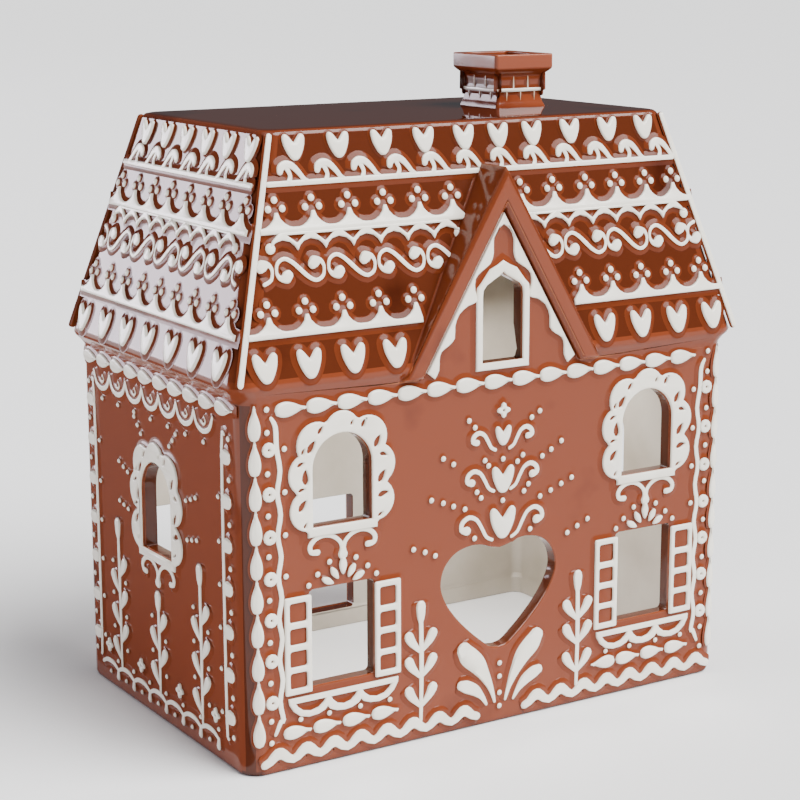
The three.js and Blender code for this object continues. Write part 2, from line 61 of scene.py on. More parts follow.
# Height of the icing above the wall, how softly a stroke reaches it, and how deep it is buried
RISE = 1.75
SOFT = 1.5
KEEP_BELOW = -0.9
# Soft brown foot beside the icing: its width, its width at a narrow place, its height and its sink
FILLET = 2.9
CORNER_FILLET = 1.3
FOOT = 0.72
FOOT_SINK = 0.03
# Where a foot beside an opening starts, so that it ends at the edge
CLEAR = 3.1
# Widest foot of a stroke, in widths of the icing, and how far a foot reaches past a dot
WIDEST_FOOT = 3.0
DOT_FOOT = 1.5
# Points nearer than this are one
MERGE_GAP = 0.0005
DROP_PITCH = 15.3
# Where cutters through a wall start and end, seen from its outer face
THROUGH = (-14, 6)


# Sizes of the house


@dataclass(frozen=True)
class HouseSizes:
    """Main sizes of the house, in millimetres."""

    half_width: float = 132.0
    half_depth: float = 84.0
    wall: float = 7.0
    wall_top: float = 166.5
    eave_z: float = 174.4
    eave_x: float = 136.5
    eave_y: float = 87.0
    roof_top: float = 278.6
    flat_x: float = 107.5
    flat_y: float = 61.8
    corner: float = 9.0
    foot_height: float = 9.0
    foot_proud: float = 1.5

    @property
    def rise(self) -> float:
        """Height of the roof slopes."""
        return self.roof_top - self.eave_z

    def roof_half(self, z: float, inward: float = 0.0) -> Point:
        """Half width and half depth of the roof at a height.

        Args:
            z: Height above the floor.
            inward: Distance to step in from the outer face.

        Returns:
            Half width and half depth.
        """
        part = (z - self.eave_z) / self.rise
        x = self.eave_x + (self.flat_x - self.eave_x) * part
        y = self.eave_y + (self.flat_y - self.eave_y) * part
        return x - inward, y - inward


HOUSE = HouseSizes()


@dataclass(frozen=True)
class Opening:
    """An opening in a wall: where it stands and how it is shaped."""

    half: float
    sill: float
    top: float

    def box(self, beside: float = 0.0, below: float = 0.0,
            above: float = 0.0) -> tuple[float, float, float, float]:
        """Left, low, right and high of a box round the opening.

        Args:
            beside: How far it stands out to the left and right.
            below: How far it stands out below.
            above: How far it stands out above.

        Returns:
            The four sides.
        """
        return -self.half - beside, self.sill - below, self.half + beside, self.top + above


HIGH_WINDOW = Opening(14.7, 109.0, 149.5)
LOW_WINDOW = Opening(16.5, 37.0, 81.0)
GABLE_WINDOW = Opening(15.5, 81.5, 124.5)
DOORWAY = Opening(17.5, 9.5, 71.5)
DORMER_WINDOW = Opening(11.0, 172.0, 212.5)
DORMER_SHOULDER = 205.5
WINDOW_U = 84.0


class Face(Enum):
    """Faces that carry icing: origin, direction to the right, direction up."""

    FRONT = ((0, -HOUSE.half_depth, 0), (1, 0, 0), (0, 0, 1))
    BACK = ((0, HOUSE.half_depth, 0), (-1, 0, 0), (0, 0, 1))
    LEFT = ((-HOUSE.half_width, 0, 0), (0, -1, 0), (0, 0, 1))
    RIGHT = ((HOUSE.half_width, 0, 0), (0, 1, 0), (0, 0, 1))
    ROOF_FRONT = (
        (0, -HOUSE.eave_y, HOUSE.eave_z), (1, 0, 0), (0, HOUSE.eave_y - HOUSE.flat_y, HOUSE.rise)
    )
    ROOF_BACK = (
        (0, HOUSE.eave_y, HOUSE.eave_z), (-1, 0, 0), (0, HOUSE.flat_y - HOUSE.eave_y, HOUSE.rise)
    )
    ROOF_LEFT = (
        (-HOUSE.eave_x, 0, HOUSE.eave_z), (0, -1, 0), (HOUSE.eave_x - HOUSE.flat_x, 0, HOUSE.rise)
    )
    ROOF_RIGHT = (
        (HOUSE.eave_x, 0, HOUSE.eave_z), (0, 1, 0), (HOUSE.flat_x - HOUSE.eave_x, 0, HOUSE.rise)
    )

    def matrix(self) -> Matrix:
        """Matrix from the face's own plane, u right, v up and w outwards, to the house."""
        origin, right, up = (Vector(part) for part in self.value)
        return plane_matrix(origin, right, up)


def plane_matrix(origin: Vector, right: Vector, up: Vector) -> Matrix:
    """Matrix of a plane given by its origin and two directions.

    Args:
        origin: Where u and v are zero.
        right: Direction of u.
        up: Direction of v.

    Returns:
        A matrix in millimetres.
    """
    across = right.normalized()
    along = up.normalized()
    out = across.cross(along)
    turned = Matrix((across, along, out)).transposed().to_4x4()
    return Matrix.Translation(origin) @ turned


def corner_matrix(side: int, toward: int, angle: float) -> Matrix:
    """Plane that touches a rounded upright corner of the walls.

    Args:
        side: 1 for the corner at +X, -1 for the one at -X.
        toward: -1 for the front, 1 for the back.
        angle: Turn from the long wall round the corner, in degrees.

    Returns:
        The matrix of the touching plane, with u to the right of someone outside.
    """
    turn = math.radians(angle)
    out = Vector((side * math.sin(turn), toward * math.cos(turn), 0))
    inset_x = HOUSE.half_width - HOUSE.corner
    inset_y = HOUSE.half_depth - HOUSE.corner
    centre = Vector((side * inset_x, toward * inset_y, 0))
    up = Vector((0, 0, 1))
    return plane_matrix(centre + out * HOUSE.corner, up.cross(out), up)


# Working with meshes


def deselect() -> None:
    """Leaves nothing selected."""
    if bpy.context.mode != "OBJECT":
        bpy.ops.object.mode_set(mode="OBJECT")
    bpy.ops.object.select_all(action="DESELECT")


def pick(thing: Thing) -> None:
    """Makes one object the only selected and the active one."""
    deselect()
    thing.select_set(True)
    bpy.context.view_layer.objects.active = thing


def apply(thing: Thing, kind: str, **settings: object) -> None:
    """Adds a modifier and applies it.

    Args:
        thing: Object that gets the modifier.
        kind: Modifier type.
        **settings: Its properties.
    """
    pick(thing)
    modifier = thing.modifiers.new(kind.lower(), kind)
    for name, value in settings.items():
        setattr(modifier, name, value)
    bpy.ops.object.modifier_apply(modifier=modifier.name)


def cut(thing: Thing, tool: Thing, operation: str = "DIFFERENCE") -> None:
    """Cuts or joins one object with another, which is then removed.

    Args:
        thing: Object that stays.
        tool: Object that is used up.
        operation: DIFFERENCE or UNION.
    """
    apply(thing, "BOOLEAN", object=tool, operation=operation, solver="EXACT")
    bpy.data.objects.remove(tool)


def smooth(thing: Thing, angle: float = 35.0) -> None:
    """Shades an object smooth below an angle in degrees."""
    pick(thing)
    bpy.ops.object.shade_smooth_by_angle(angle=math.radians(angle))


def tidy(thing: Thing, gap: float) -> None:
    """Merges doubled points and turns all faces outwards.

    Args:
        thing: Object to mend.
        gap: Largest distance between points that are one.
    """
    pick(thing)
    bpy.ops.object.mode_set(mode="EDIT")
    bpy.ops.mesh.select_all(action="SELECT")
    bpy.ops.mesh.remove_doubles(threshold=gap)
    bpy.ops.mesh.normals_make_consistent(inside=False)
    bpy.ops.object.mode_set(mode="OBJECT")


# Drawing motifs


def buried(z: float) -> float:
    """Height of the part of a foot that lies in the wall."""
    return max(0.4 * z, KEEP_BELOW + 0.1) - FOOT_SINK


def patch_foot(z: float, fillet: float) -> float:
    """Height of the hollow foot round a filled motif, for a height on a quarter circle."""
    if z < 0:
        return buried(z)
    part = min(z / fillet, 1.0)
    return FOOT * (1 - math.sqrt(1 - part * part)) ** 1.6 - FOOT_SINK


def stroke_foot(z: float) -> float:
    """Height of the hollow foot beside a stroke, for a height on a round tube."""
    return buried(z) if z < 0 else FOOT * math.tanh((z * z / 9.0) ** 1.5) - FOOT_SINK


def dot_foot(z: float, radius: float) -> float:
    """Height of the hollow foot round a dot, for a height on a sphere."""
    if z < 0:
        return buried(z)
    return FOOT * (1 - math.sqrt(max(0.0, 1 - z * z / radius / radius))) ** 1.5 - FOOT_SINK


@dataclass
class Line:
    """A drawn line or outline, in millimetres."""

    points: list[Point]
    closed: bool = False
    widths: list[float] = field(default_factory=list)


def spline(points: Sequence[Point], closed: bool, steps: int) -> list[Point]:
    """Smooth curve through the points.

    Args:
        points: What the curve passes through.
        closed: Whether it comes back to its start.
        steps: Pieces between two points.

    Returns:
        The points of the curve.
    """
    count = len(points)
    spans = count if closed else count - 1
    out = []
    for i in range(spans):
        if closed:
            near = [points[(i + k) % count] for k in (-1, 0, 1, 2)]
        else:
            near = [points[min(max(i + k, 0), count - 1)] for k in (-1, 0, 1, 2)]
        for step in range(steps):
            out.append(between(near, step / steps))
    if not closed:
        out.append(tuple(points[-1]))
    return out


def between(near: Sequence[Sequence[float]], t: float) -> tuple[float, ...]:
    """Value of a Catmull-Rom piece.

    Args:
        near: The four values round the piece.
        t: Place on the piece, from 0 to 1.

    Returns:
        The value there.
    """
    a, b, c, d = near
    return tuple(
        0.5 * (2 * q + (r - p) * t + (2 * p - 5 * q + 4 * r - s) * t * t
               + (3 * q - p - 3 * r + s) * t ** 3)
        for p, q, r, s in zip(a, b, c, d)
    )


def draw(lines: Iterable[Line], flat: bool, **settings: object) -> Thing:
    """Makes a curve object of straight pieces.

    Args:
        lines: What it holds.
        flat: Whether it lies in a plane and is filled.
        **settings: Further properties of the curve, such as its bevel.

    Returns:
        The curve.
    """
    deselect()
    bpy.ops.curve.primitive_bezier_curve_add()
    thing = bpy.context.active_object
    curve = thing.data
    curve.dimensions = "2D" if flat else "3D"
    curve.splines.clear()
    for line in lines:
        part = curve.splines.new("POLY")
        part.points.add(len(line.points) - 1)
        for i, (x, y) in enumerate(line.points):
            part.points[i].co = (x, y, 0, 1)
            part.points[i].radius = line.widths[i] / 2 if line.widths else 1.0
        part.use_cyclic_u = line.closed
    if flat:
        curve.fill_mode = "BOTH"
    for name, value in settings.items():
        setattr(curve, name, value)
    return thing


def finish_motif(thing: Thing, shape: Callable[[float], float]) -> Mesh:
    """Turns a curve into a closed low mesh with its height stored at each point.

    Args:
        thing: The bevelled curve, which is used up.
        shape: New height for an old one.

    Returns:
        The mesh.
    """
    pick(thing)
    bpy.ops.object.convert(target="MESH")
    for vertex in thing.data.vertices:
        vertex.co.z = max(shape(vertex.co.z), KEEP_BELOW)
    tidy(thing, MERGE_GAP)
    smooth(thing, 50)
    mesh = thing.data.copy()
    heights = mesh.attributes.new("lift", "FLOAT", "POINT")
    heights.data.foreach_set("value", [vertex.co.z for vertex in mesh.vertices])
    bpy.data.objects.remove(thing)
    return mesh


@dataclass
class Motif:
    """A piece of icing with the soft brown shoulder under it, as flat-lying meshes."""

    icing: Mesh
    shoulder: Mesh


def patch(lines: Sequence[Line], edge: float = 0.9, rise: float = RISE, fillet: float = FILLET,
          foot: Sequence[Line] = ()) -> Motif:
    """Icing that fills an outline, with holes where an outline lies in another.

    Args:
        lines: Closed outlines.
        edge: Rounding of its rim.
        rise: Height above the wall.
        fillet: Width of the foot beside it.
        foot: Outlines of the foot, where they aren't the icing's own.

    Returns:
        The motif.
    """
    top = draw(lines, True, bevel_depth=edge, bevel_resolution=2, offset=-0.75 * edge,
               extrude=rise - edge)
    low = draw(foot or lines, True, bevel_depth=fillet, bevel_resolution=3)
    return Motif(finish_motif(top, lambda z: z), finish_motif(low, lambda z: patch_foot(z, fillet)))


def rounded(line: Line, steps: int) -> Line:
    """The line as a smooth one with round ends, ready to be swept.

    Args:
        line: Points and widths as given.
        steps: Pieces between two points.

    Returns:
        The finer line.
    """
    data = [(x, y, w) for (x, y), w in zip(line.points, line.widths)]
    fine = spline(data, line.closed, steps)
    if line.closed:
        return Line([(x, y) for x, y, _ in fine], True, [w for *_, w in fine])
    ends = []
    for (x, y, w), (nx, ny, _) in ((fine[0], fine[1]), (fine[-1], fine[-2])):
        away = Vector((x - nx, y - ny)).normalized() * w / 2
        ends.append([(x + away.x * reach, y + away.y * reach, w * part)
                     for reach, part in ((0.5, 0.87), (0.85, 0.53), (1.0, 0.06))])
    fine = ends[0][::-1] + fine + ends[1]
    return Line([(x, y) for x, y, _ in fine], False, [max(w, 0.05) for *_, w in fine])


def stroke(lines: Sequence[Line], steps: int = 4, spread: float = 4.2) -> Motif:
    """Icing piped along lines whose width may change.

    Args:
        lines: What is piped.
        steps: Pieces between two points of a line.
        spread: How much wider the foot is than the icing.

    Returns:
        The motif.
    """
    fine = [rounded(line, steps) for line in lines]
    wide = [Line(line.points, line.closed, [w + min(spread, WIDEST_FOOT * w) for w in line.widths])
            for line in fine]
    top, low = (draw(part, False, bevel_depth=1.0, bevel_resolution=sides, use_fill_caps=True)
                for part, sides in ((fine, 2), (wide, 3)))
    return Motif(finish_motif(top, lambda z: RISE * math.tanh(z / SOFT)),
                 finish_motif(low, stroke_foot))


def dot(width: float, rise: float = 1.5) -> Motif:
    """A round drop of icing.

    Args:
        width: Its diameter.
        rise: Its height.

    Returns:
        The motif.
    """
    made = []
    foot = width / 2 + DOT_FOOT
    for radius, rings, shape in (
        (width / 2, 8, lambda z: z * rise / (width / 2)),
        (foot, 12, lambda z: dot_foot(z, foot)),
    ):
        deselect()
        bpy.ops.mesh.primitive_uv_sphere_add(segments=12, ring_count=rings, radius=radius)
        made.append(finish_motif(bpy.context.active_object, shape))
    return Motif(*made)


class Relief:
    """Collects copies of motifs and joins them into one icing piece and one shoulder piece."""

    def __init__(self, name: str) -> None:
        """Starts an empty collection under a piece name."""
        self.name = name
        self.placed: dict[str, list[Thing]] = {"icing": [], "shoulder": []}

    def put(self, motif: Motif, plane: Matrix, u: float = 0.0, v: float = 0.0, turn: float = 0.0,
            mirror: bool = False, size: float = 1.0) -> None:
        """Places a copy of a motif on a plane.

        Args:
            motif: What is placed.
            plane: Matrix of the plane, in millimetres.
            u: Place to the right.
            v: Place upwards.
            turn: Turn in the plane, in degrees.
            mirror: Whether left and right change places.
            size: Scale in the plane.
        """
        flip = Matrix.Diagonal((-size if mirror else size, size, 1, 1))
        local = Matrix.Translation((u, v, 0)) @ Matrix.Rotation(math.radians(turn), 4, "Z") @ flip
        whole = Matrix.Scale(MM, 4) @ plane @ local
        for kind, mesh in (("icing", motif.icing), ("shoulder", motif.shoulder)):
            copy = mesh.copy()
            copy.transform(whole)
            if mirror:
                copy.flip_normals()
            thing = bpy.data.objects.new(f"{self.name}_{kind}", copy)
            bpy.context.scene.collection.objects.link(thing)
            self.placed[kind].append(thing)

    def scatter(self, motif: Motif, plane: Matrix, places: Iterable[Point],
                size: float = 1.0) -> None:
        """Places copies of a motif at several points of a plane."""
        for u, v in places:
            self.put(motif, plane, u, v, size=size)

    def finish(self, enamel: Material, glaze: Material) -> None:
        """Joins what was placed into two pieces.

        Args:
            enamel: Material of the icing.
            glaze: Material of the shoulders.
        """
        for kind, material in (("icing", enamel), ("shoulder", glaze)):
            deselect()
            for thing in self.placed[kind]:
                thing.select_set(True)
            bpy.context.view_layer.objects.active = self.placed[kind][0]
            bpy.ops.object.join()
            finish_piece(bpy.context.active_object, f"{self.name}_{kind}", [material])


def finish_piece(piece: Thing, name: str, materials: Iterable[Material]) -> None:
    """Names a piece, gives it its materials and lets it ride on the house.

    Args:
        piece: The finished piece.
        name: Its name.
        materials: Its materials, in the order of their slots.
    """
    piece.name = name
    piece.data.materials.clear()
    for material in materials:
        piece.data.materials.append(material)
    faces = sum(len(polygon.vertices) - 2 for polygon in piece.data.polygons)
    LOG.info("%s: %d triangles", piece.name, faces)
    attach(piece, "root")


# Outlines


def smooth_outline(points: Sequence[Point], steps: int = 4) -> Line:
    """Closed smooth outline through the points."""
    return Line(spline(points, True, steps), True)


def straight_outline(points: Sequence[Point]) -> Line:
    """Closed outline with straight sides."""
    return Line(list(points), True)


def rectangle(left: float, low: float, right: float, high: float) -> Line:
    """Upright rectangle."""
    return straight_outline([(left, low), (right, low), (right, high), (left, high)])


def soft_rectangle(left: float, low: float, right: float, high: float, radius: float = 1.2) -> Line:
    """Upright rectangle with rounded corners."""
    points = []
    for x, y, start in ((right, high, 0), (left, high, 90), (left, low, 180), (right, low, 270)):
        middle_x = min(max(x, left + radius), right - radius)
        middle_y = min(max(y, low + radius), high - radius)
        for part in range(4):
            angle = math.radians(start + part * 30)
            points.append((middle_x + radius * math.cos(angle), middle_y + radius * math.sin(angle)))
    return straight_outline(points)


def circle(x: float, y: float, radius: float, sides: int = 12) -> Line:
    """Round outline."""
    turn = 2 * math.pi / sides
    return straight_outline([(x + radius * math.cos(i * turn), y + radius * math.sin(i * turn))
                             for i in range(sides)])


def arch(opening: Opening, margin: float = 0.0, sides: int = 20) -> Line:
    """Outline of a round-headed opening.

    Args:
        opening: The opening.
        margin: Distance outside it.
        sides: Pieces in the half circle.

    Returns:
        The outline.
    """
    reach = opening.half + margin
    spring = opening.top - opening.half
    points = [(-reach, opening.sill - margin), (reach, opening.sill - margin)]
    for i in range(sides + 1):
        angle = math.pi * i / sides
        points.append((reach * math.cos(angle), spring + reach * math.sin(angle)))
    return straight_outline(points)


def ogee(opening: Opening, margin: float = 0.0) -> Line:
    """Outline of the pointed dormer window.

    Args:
        opening: The opening.
        margin: Distance outside it.

    Returns:
        The outline.
    """
    reach = opening.half + margin
    apex = opening.top + margin * 1.6
    shoulder = DORMER_SHOULDER + margin * 0.4
    right = [(reach, shoulder - 3), (reach * 0.97, shoulder - 0.5), (reach * 0.82, shoulder + 1.6),
             (reach * 0.5, apex - 3.6), (reach * 0.22, apex - 1.9)]
    base = opening.sill - margin
    return straight_outline([(-reach, base), (reach, base), *right, (0, apex),
                             *mirrored(reversed(right))])


def both_sides(half: Sequence[Point], steps: int) -> Line:
    """Smooth outline from its right half, given from the top down."""
    right = spline(half, False, steps)
    return straight_outline(right + mirrored(reversed(right[1:-1])))


def heart(width: float, height: float) -> Line:
    """Heart outline round its middle, with a sharp dip and point."""
    half = [(0, 0.15), (0.09, 0.24), (0.2, 0.38), (0.31, 0.48), (0.42, 0.49), (0.5, 0.38),
            (0.47, 0.12), (0.38, -0.12), (0.24, -0.36), (0.11, -0.48), (0, -0.5)]
    return straight_outline([(x * width, y * height) for x, y in both_sides(half, 3).points])


def heart_opening() -> Line:
    """Outline of the large heart cut through the front wall."""
    half = [(0, 84.5), (5, 85.5), (10, 87.2), (16, 87.6), (24, 85.4), (30, 79.5), (32, 71.3),
            (29.6, 63.5), (24, 55.2), (16.5, 47.3), (9, 40.8), (4.6, 37.7), (0, 36.8)]
    return both_sides(half, 4)


def drop_outline(length: float, width: float) -> Line:
    """Drop with its round end to the left and its tip to the right."""
    half = [(-0.5, 0.0), (-0.45, 0.3), (-0.29, 0.47), (-0.09, 0.48), (0.13, 0.33), (0.32, 0.13),
            (0.5, 0.03)]
    upper = [(x * length, y * width) for x, y in half]
    lower = [(x, -y) for x, y in reversed(upper[1:])]
    return straight_outline(spline(upper, False, 3) + spline(lower, False, 3))


def cloud(lobes: Sequence[tuple[float, float, float]], centre: float, half: float, low: float,
          sides: int = 96) -> Line:
    """Outer edge of overlapping circles that stand on a flat foot.

    Args:
        lobes: Place and radius of each circle.
        centre: Height of the point it is seen from.
        half: Half width of the foot.
        low: Height of the foot.
        sides: Points on the outline.

    Returns:
        The outline.
    """
    points = []
    for i in range(sides):
        angle = 2 * math.pi * i / sides
        ray = Vector((math.cos(angle), math.sin(angle)))
        reach = 0.0
        if ray.y < 0:
            reach = min((centre - low) / max(-ray.y, 1e-6), half / max(abs(ray.x), 1e-6))
        for x, y, radius in lobes:
            middle = Vector((x, y - centre))
            along = middle.dot(ray)
            across = middle.length_squared - along * along
            if across < radius * radius:
                reach = max(reach, along + math.sqrt(radius * radius - across))
        points.append((reach * ray.x, max(centre + reach * ray.y, low)))
    return straight_outline(points)


def mirrored(points: Iterable[Point]) -> list[Point]:
    """The points with left and right changed."""
    return [(-x, y) for x, y in points]


def evenly(count: int, pitch: float, middle: float = 0.0) -> list[float]:
    """Evenly spaced places round a middle."""
    return [middle + (i - (count - 1) / 2) * pitch for i in range(count)]


# Materials


# Sockets of the colour mix node
MIX_PART, MIX_FIRST, MIX_SECOND, MIX_RESULT = 0, 6, 7, 2


class Nodes:
    """Short calls for building a node material."""

    def __init__(self, name: str) -> None:
        """Starts an empty material with its shader."""
        self.material = bpy.data.materials.new(name)
        self.material.use_nodes = True
        self.tree = self.material.node_tree
        self.shader = self.tree.nodes["Principled BSDF"]

    def add(self, kind: str, **settings: object) -> bpy.types.Node:
        """Adds a node and sets its properties or its inputs.

        Args:
            kind: Node type.
            **settings: Properties, or inputs by name with _ for a space.

        Returns:
            The node.
        """
        node = self.tree.nodes.new(kind)
        for name, value in settings.items():
            if hasattr(node, name):
                setattr(node, name, value)
            else:
                node.inputs[name.replace("_", " ")].default_value = value
        return node

    def link(self, source: Socket, target: Socket) -> None:
        """Joins two sockets."""
        self.tree.links.new(source, target)

    def noise(self, scale: float, detail: float = 3.0) -> Socket:
        """Noise on the object's own coordinates."""
        place = self.add("ShaderNodeTexCoord")
        node = self.add("ShaderNodeTexNoise", Scale=scale, Detail=detail)
        self.link(place.outputs["Object"], node.inputs["Vector"])
        return node.outputs["Fac"]

    def surface(self, **inputs: object) -> None:
        """Sets inputs of the shader, by name with _ for a space."""
        for name, value in inputs.items():
            self.shader.inputs[name.replace("_", " ")].default_value = value

    def colour(self, value: Colour) -> Socket:
        """A plain colour."""
        node = self.add("ShaderNodeRGB")
        node.outputs[0].default_value = (*value, 1.0)
        return node.outputs[0]

    def ramp(self, source: Socket, stops: Sequence[tuple[float, Colour]]) -> Socket:
        """Colour ramp over a value.

        Args:
            source: The value.
            stops: Places and colours.

        Returns:
            The colour.
        """
        node = self.add("ShaderNodeValToRGB")
        elements = node.color_ramp.elements
        while len(elements) < len(stops):
            elements.new(0.5)
        for element, (place, colour) in zip(elements, stops):
            element.position = place
            element.color = (*colour, 1.0)
        self.link(source, node.inputs["Fac"])
        return node.outputs["Color"]

    def mix(self, part: Socket, first: Socket, second: Socket) -> Socket:
        """Mixes two colours by a value."""
        node = self.add("ShaderNodeMix", data_type="RGBA")
        self.link(part, node.inputs[MIX_PART])
        self.link(first, node.inputs[MIX_FIRST])
        self.link(second, node.inputs[MIX_SECOND])
        return node.outputs[MIX_RESULT]

    def bump(self, source: Socket, distance: float, strength: float = 1.0) -> None:
        """Lets a value lift the surface."""
        node = self.add("ShaderNodeBump", Strength=strength, Distance=distance)
        self.link(source, node.inputs["Height"])
        self.link(node.outputs["Normal"], self.shader.inputs["Normal"])


@dataclass(frozen=True)
class BrownGlaze:
    """Warm brown glaze, with painted shade in recesses and, where switched on, a painted highlight
    on sharp convex edges, both drawn from ambient occlusion.
    """

    name: str
    depth: float = 1.0
    # Whether sharp convex edges get a painted highlight in a lighter brown
    with_edge_highlight: bool = True
    roughness: float = 0.1
    ripple: float = 0.5
    shine: float = 0.32
    base: Colour = (0.185, 0.039, 0.014)
    # Dark brown, used both for random darker patches and for painted shade in recesses
    dark_patch_and_shade: Colour = (0.09, 0.015, 0.005)
    # Lighter brown of the painted edge highlight
    edge_highlight_brown: Colour = (0.36, 0.105, 0.038)

    def tone(self, colour: Colour) -> Colour:
        """A colour of the glaze scaled by depth; the darker roof, roof-foot and reveal copies paint
        shade, and the darker top copy paints a dark reflection.
        """
        return tuple(part * self.depth for part in colour)

    def material(self) -> Material:
        """Builds the material."""
        nodes = Nodes(self.name)
        base, dark_patch_and_shade, edge_highlight_brown = (self.tone(colour) for colour in (self.base, self.dark_patch_and_shade, self.edge_highlight_brown))
        cloudy = nodes.ramp(nodes.noise(16.0, 4.0), [(0.3, dark_patch_and_shade), (0.42, base), (0.75, base)])
        # Ambient occlusion within 6 mm pulls the glaze towards the dark brown: painted shade in
        # recesses and beside the icing
        nearby = nodes.add("ShaderNodeAmbientOcclusion", samples=6, Distance=0.006)
        hidden = nearby.outputs["AO"]
        painted_recess_shade = nodes.ramp(hidden, [(0.35, dark_patch_and_shade), (0.8, base)])
        part = nodes.ramp(hidden, [(0.3, WHITE), (0.9, BLACK)])
        tone = nodes.mix(part, cloudy, painted_recess_shade)
        # Inside ambient occlusion finds sharp convex edges and thin pieces and lightens them there:
        # a painted highlight
        if self.with_edge_highlight:
            edges = nodes.add("ShaderNodeAmbientOcclusion", samples=6, inside=True,
                              only_local=True, Distance=0.0024)
            edge_highlight_mask = nodes.ramp(edges.outputs["AO"], [(0.3, WHITE), (0.7, BLACK)])
            tone = nodes.mix(edge_highlight_mask, tone, nodes.colour(edge_highlight_brown))
        nodes.link(tone, nodes.shader.inputs["Base Color"])
        nodes.surface(Roughness=self.roughness, Specular_IOR_Level=self.shine)
        nodes.bump(nodes.noise(38.0, 2.0), 0.0006, self.ripple)
        return nodes.material


@dataclass(frozen=True)
class WhiteEnamel:
    """Thick white glaze that thins to amber at its foot."""

    white: Colour = (0.9, 0.86, 0.76)
    cool: Colour = (0.84, 0.79, 0.69)
    amber: Colour = (0.42, 0.17, 0.04)
    brown: Colour = (0.2, 0.045, 0.015)
    roughness: float = 0.16

    def material(self) -> Material:
        """Builds the material."""
        nodes = Nodes("white_enamel")
        lift = nodes.add("ShaderNodeAttribute", attribute_name="lift")
        scaled = nodes.add("ShaderNodeMapRange")
        nodes.link(lift.outputs["Fac"], scaled.inputs["Value"])
        scaled.inputs["From Max"].default_value = 2.0
        covered = nodes.ramp(scaled.outputs["Result"], [(0.34, BLACK), (0.44, WHITE)])
        rim = nodes.ramp(scaled.outputs["Result"], [(0.3, self.brown), (0.38, self.amber)])
        body = nodes.ramp(nodes.noise(60.0, 3.0), [(0.35, self.cool), (0.6, self.white)])
        nodes.link(nodes.mix(covered, rim, body), nodes.shader.inputs["Base Color"])
        nodes.surface(Roughness=self.roughness)
        nodes.bump(nodes.noise(150.0, 2.0), 0.0003, 0.4)
        return nodes.material


@dataclass(frozen=True)
class PaleClay:
    """Pale clay under a clear glaze, for the inside."""

    light: Colour = (0.55, 0.5, 0.43)
    dull: Colour = (0.38, 0.33, 0.26)
    roughness: float = 0.3

    def material(self) -> Material:
        """Builds the material."""
        nodes = Nodes("pale_clay")
        tone = nodes.ramp(nodes.noise(14.0, 5.0), [(0.35, self.dull), (0.6, self.light)])
        nodes.link(tone, nodes.shader.inputs["Base Color"])
        nodes.surface(Roughness=self.roughness)
        nodes.bump(nodes.noise(60.0, 3.0), 0.0006, 0.5)
        return nodes.material


# The shell of the house


def extrude(rise: float) -> None:
    """Pulls what is selected straight up."""
    bpy.ops.mesh.extrude_region_move(TRANSFORM_OT_translate={"value": (0, 0, rise)})


def rounded_block(rings: Sequence[tuple[float, float, float]], radius: float,
                  segments: int) -> Thing:
    """Block of rounded rectangles stacked from the first ring up.

    Args:
        rings: Half width, half depth and height of each ring.
        radius: Corner radius of the first ring.
        segments: Pieces in each corner.

    Returns:
        The closed block, in metres.
    """
    (x, y, z), *others = rings
    deselect()
    bpy.ops.mesh.primitive_plane_add(size=2, location=(0, 0, z * MM))
    block = bpy.context.active_object
    block.scale = (x * MM, y * MM, 1)
    bpy.ops.object.transform_apply(location=True, rotation=True, scale=True)
    bpy.ops.object.mode_set(mode="EDIT")
    bpy.ops.mesh.select_all(action="SELECT")
    bpy.ops.mesh.bevel(offset=radius * MM, segments=segments, affect="VERTICES")
    for next_x, next_y, next_z in others:
        extrude((next_z - z) * MM)
        bpy.ops.transform.resize(value=(next_x / x, next_y / y, 1),
                                 center_override=(0, 0, next_z * MM))
        x, y, z = next_x, next_y, next_z
    bpy.ops.mesh.select_all(action="SELECT")
    bpy.ops.mesh.normals_make_consistent(inside=False)
    bpy.ops.object.mode_set(mode="OBJECT")
    return block


def incircle(points: Sequence[Point]) -> tuple[float, float, float]:
    """Middle and radius of the circle inside the triangle of the first three points."""
    a, b, c = (Vector(point) for point in points[:3])
    sides = ((b - c).length, (c - a).length, (a - b).length)
    around = sum(sides)
    middle = (a * sides[0] + b * sides[1] + c * sides[2]) / around
    area = abs((b - a).cross(c - a)) / 2
    return middle.x, middle.y, 2 * area / around


def cutter(line: Line, plane: Matrix, low: float, high: float, u: float = 0.0,
           steps: Sequence[tuple[float, float]] = ()) -> Thing:
    """Solid with the outline's shape, for cutting or joining.

    Args:
        line: Closed outline.
        plane: Matrix of the plane it lies in.
        low: Where it starts, below the plane.
        high: Where it ends, above the plane.
        u: Place to the right.
        steps: Further heights, with how far the sides step out there.

    Returns:
        The solid, in metres.
    """
    deselect()
    bpy.ops.mesh.primitive_circle_add(vertices=len(line.points), radius=1, fill_type="NGON")
    thing = bpy.context.active_object
    for vertex, (x, y) in zip(thing.data.vertices, line.points):
        vertex.co = (x, y, low)
    bpy.ops.object.mode_set(mode="EDIT")
    bpy.ops.mesh.select_all(action="SELECT")
    extrude(high - low)
    (*middle, reach), before, height = incircle(line.points), 1.0, high
    for next_height, out in steps:
        extrude(next_height - height)
        scale = 1 + out / reach
        bpy.ops.transform.resize(value=(scale / before, scale / before, 1),
                                 center_override=(*middle, 0))
        before, height = scale, next_height
    bpy.ops.mesh.select_all(action="SELECT")
    bpy.ops.mesh.normals_make_consistent(inside=False)
    bpy.ops.object.mode_set(mode="OBJECT")
    thing.data.transform(Matrix.Scale(MM, 4) @ plane @ Matrix.Translation((u, 0, 0)))
    return thing


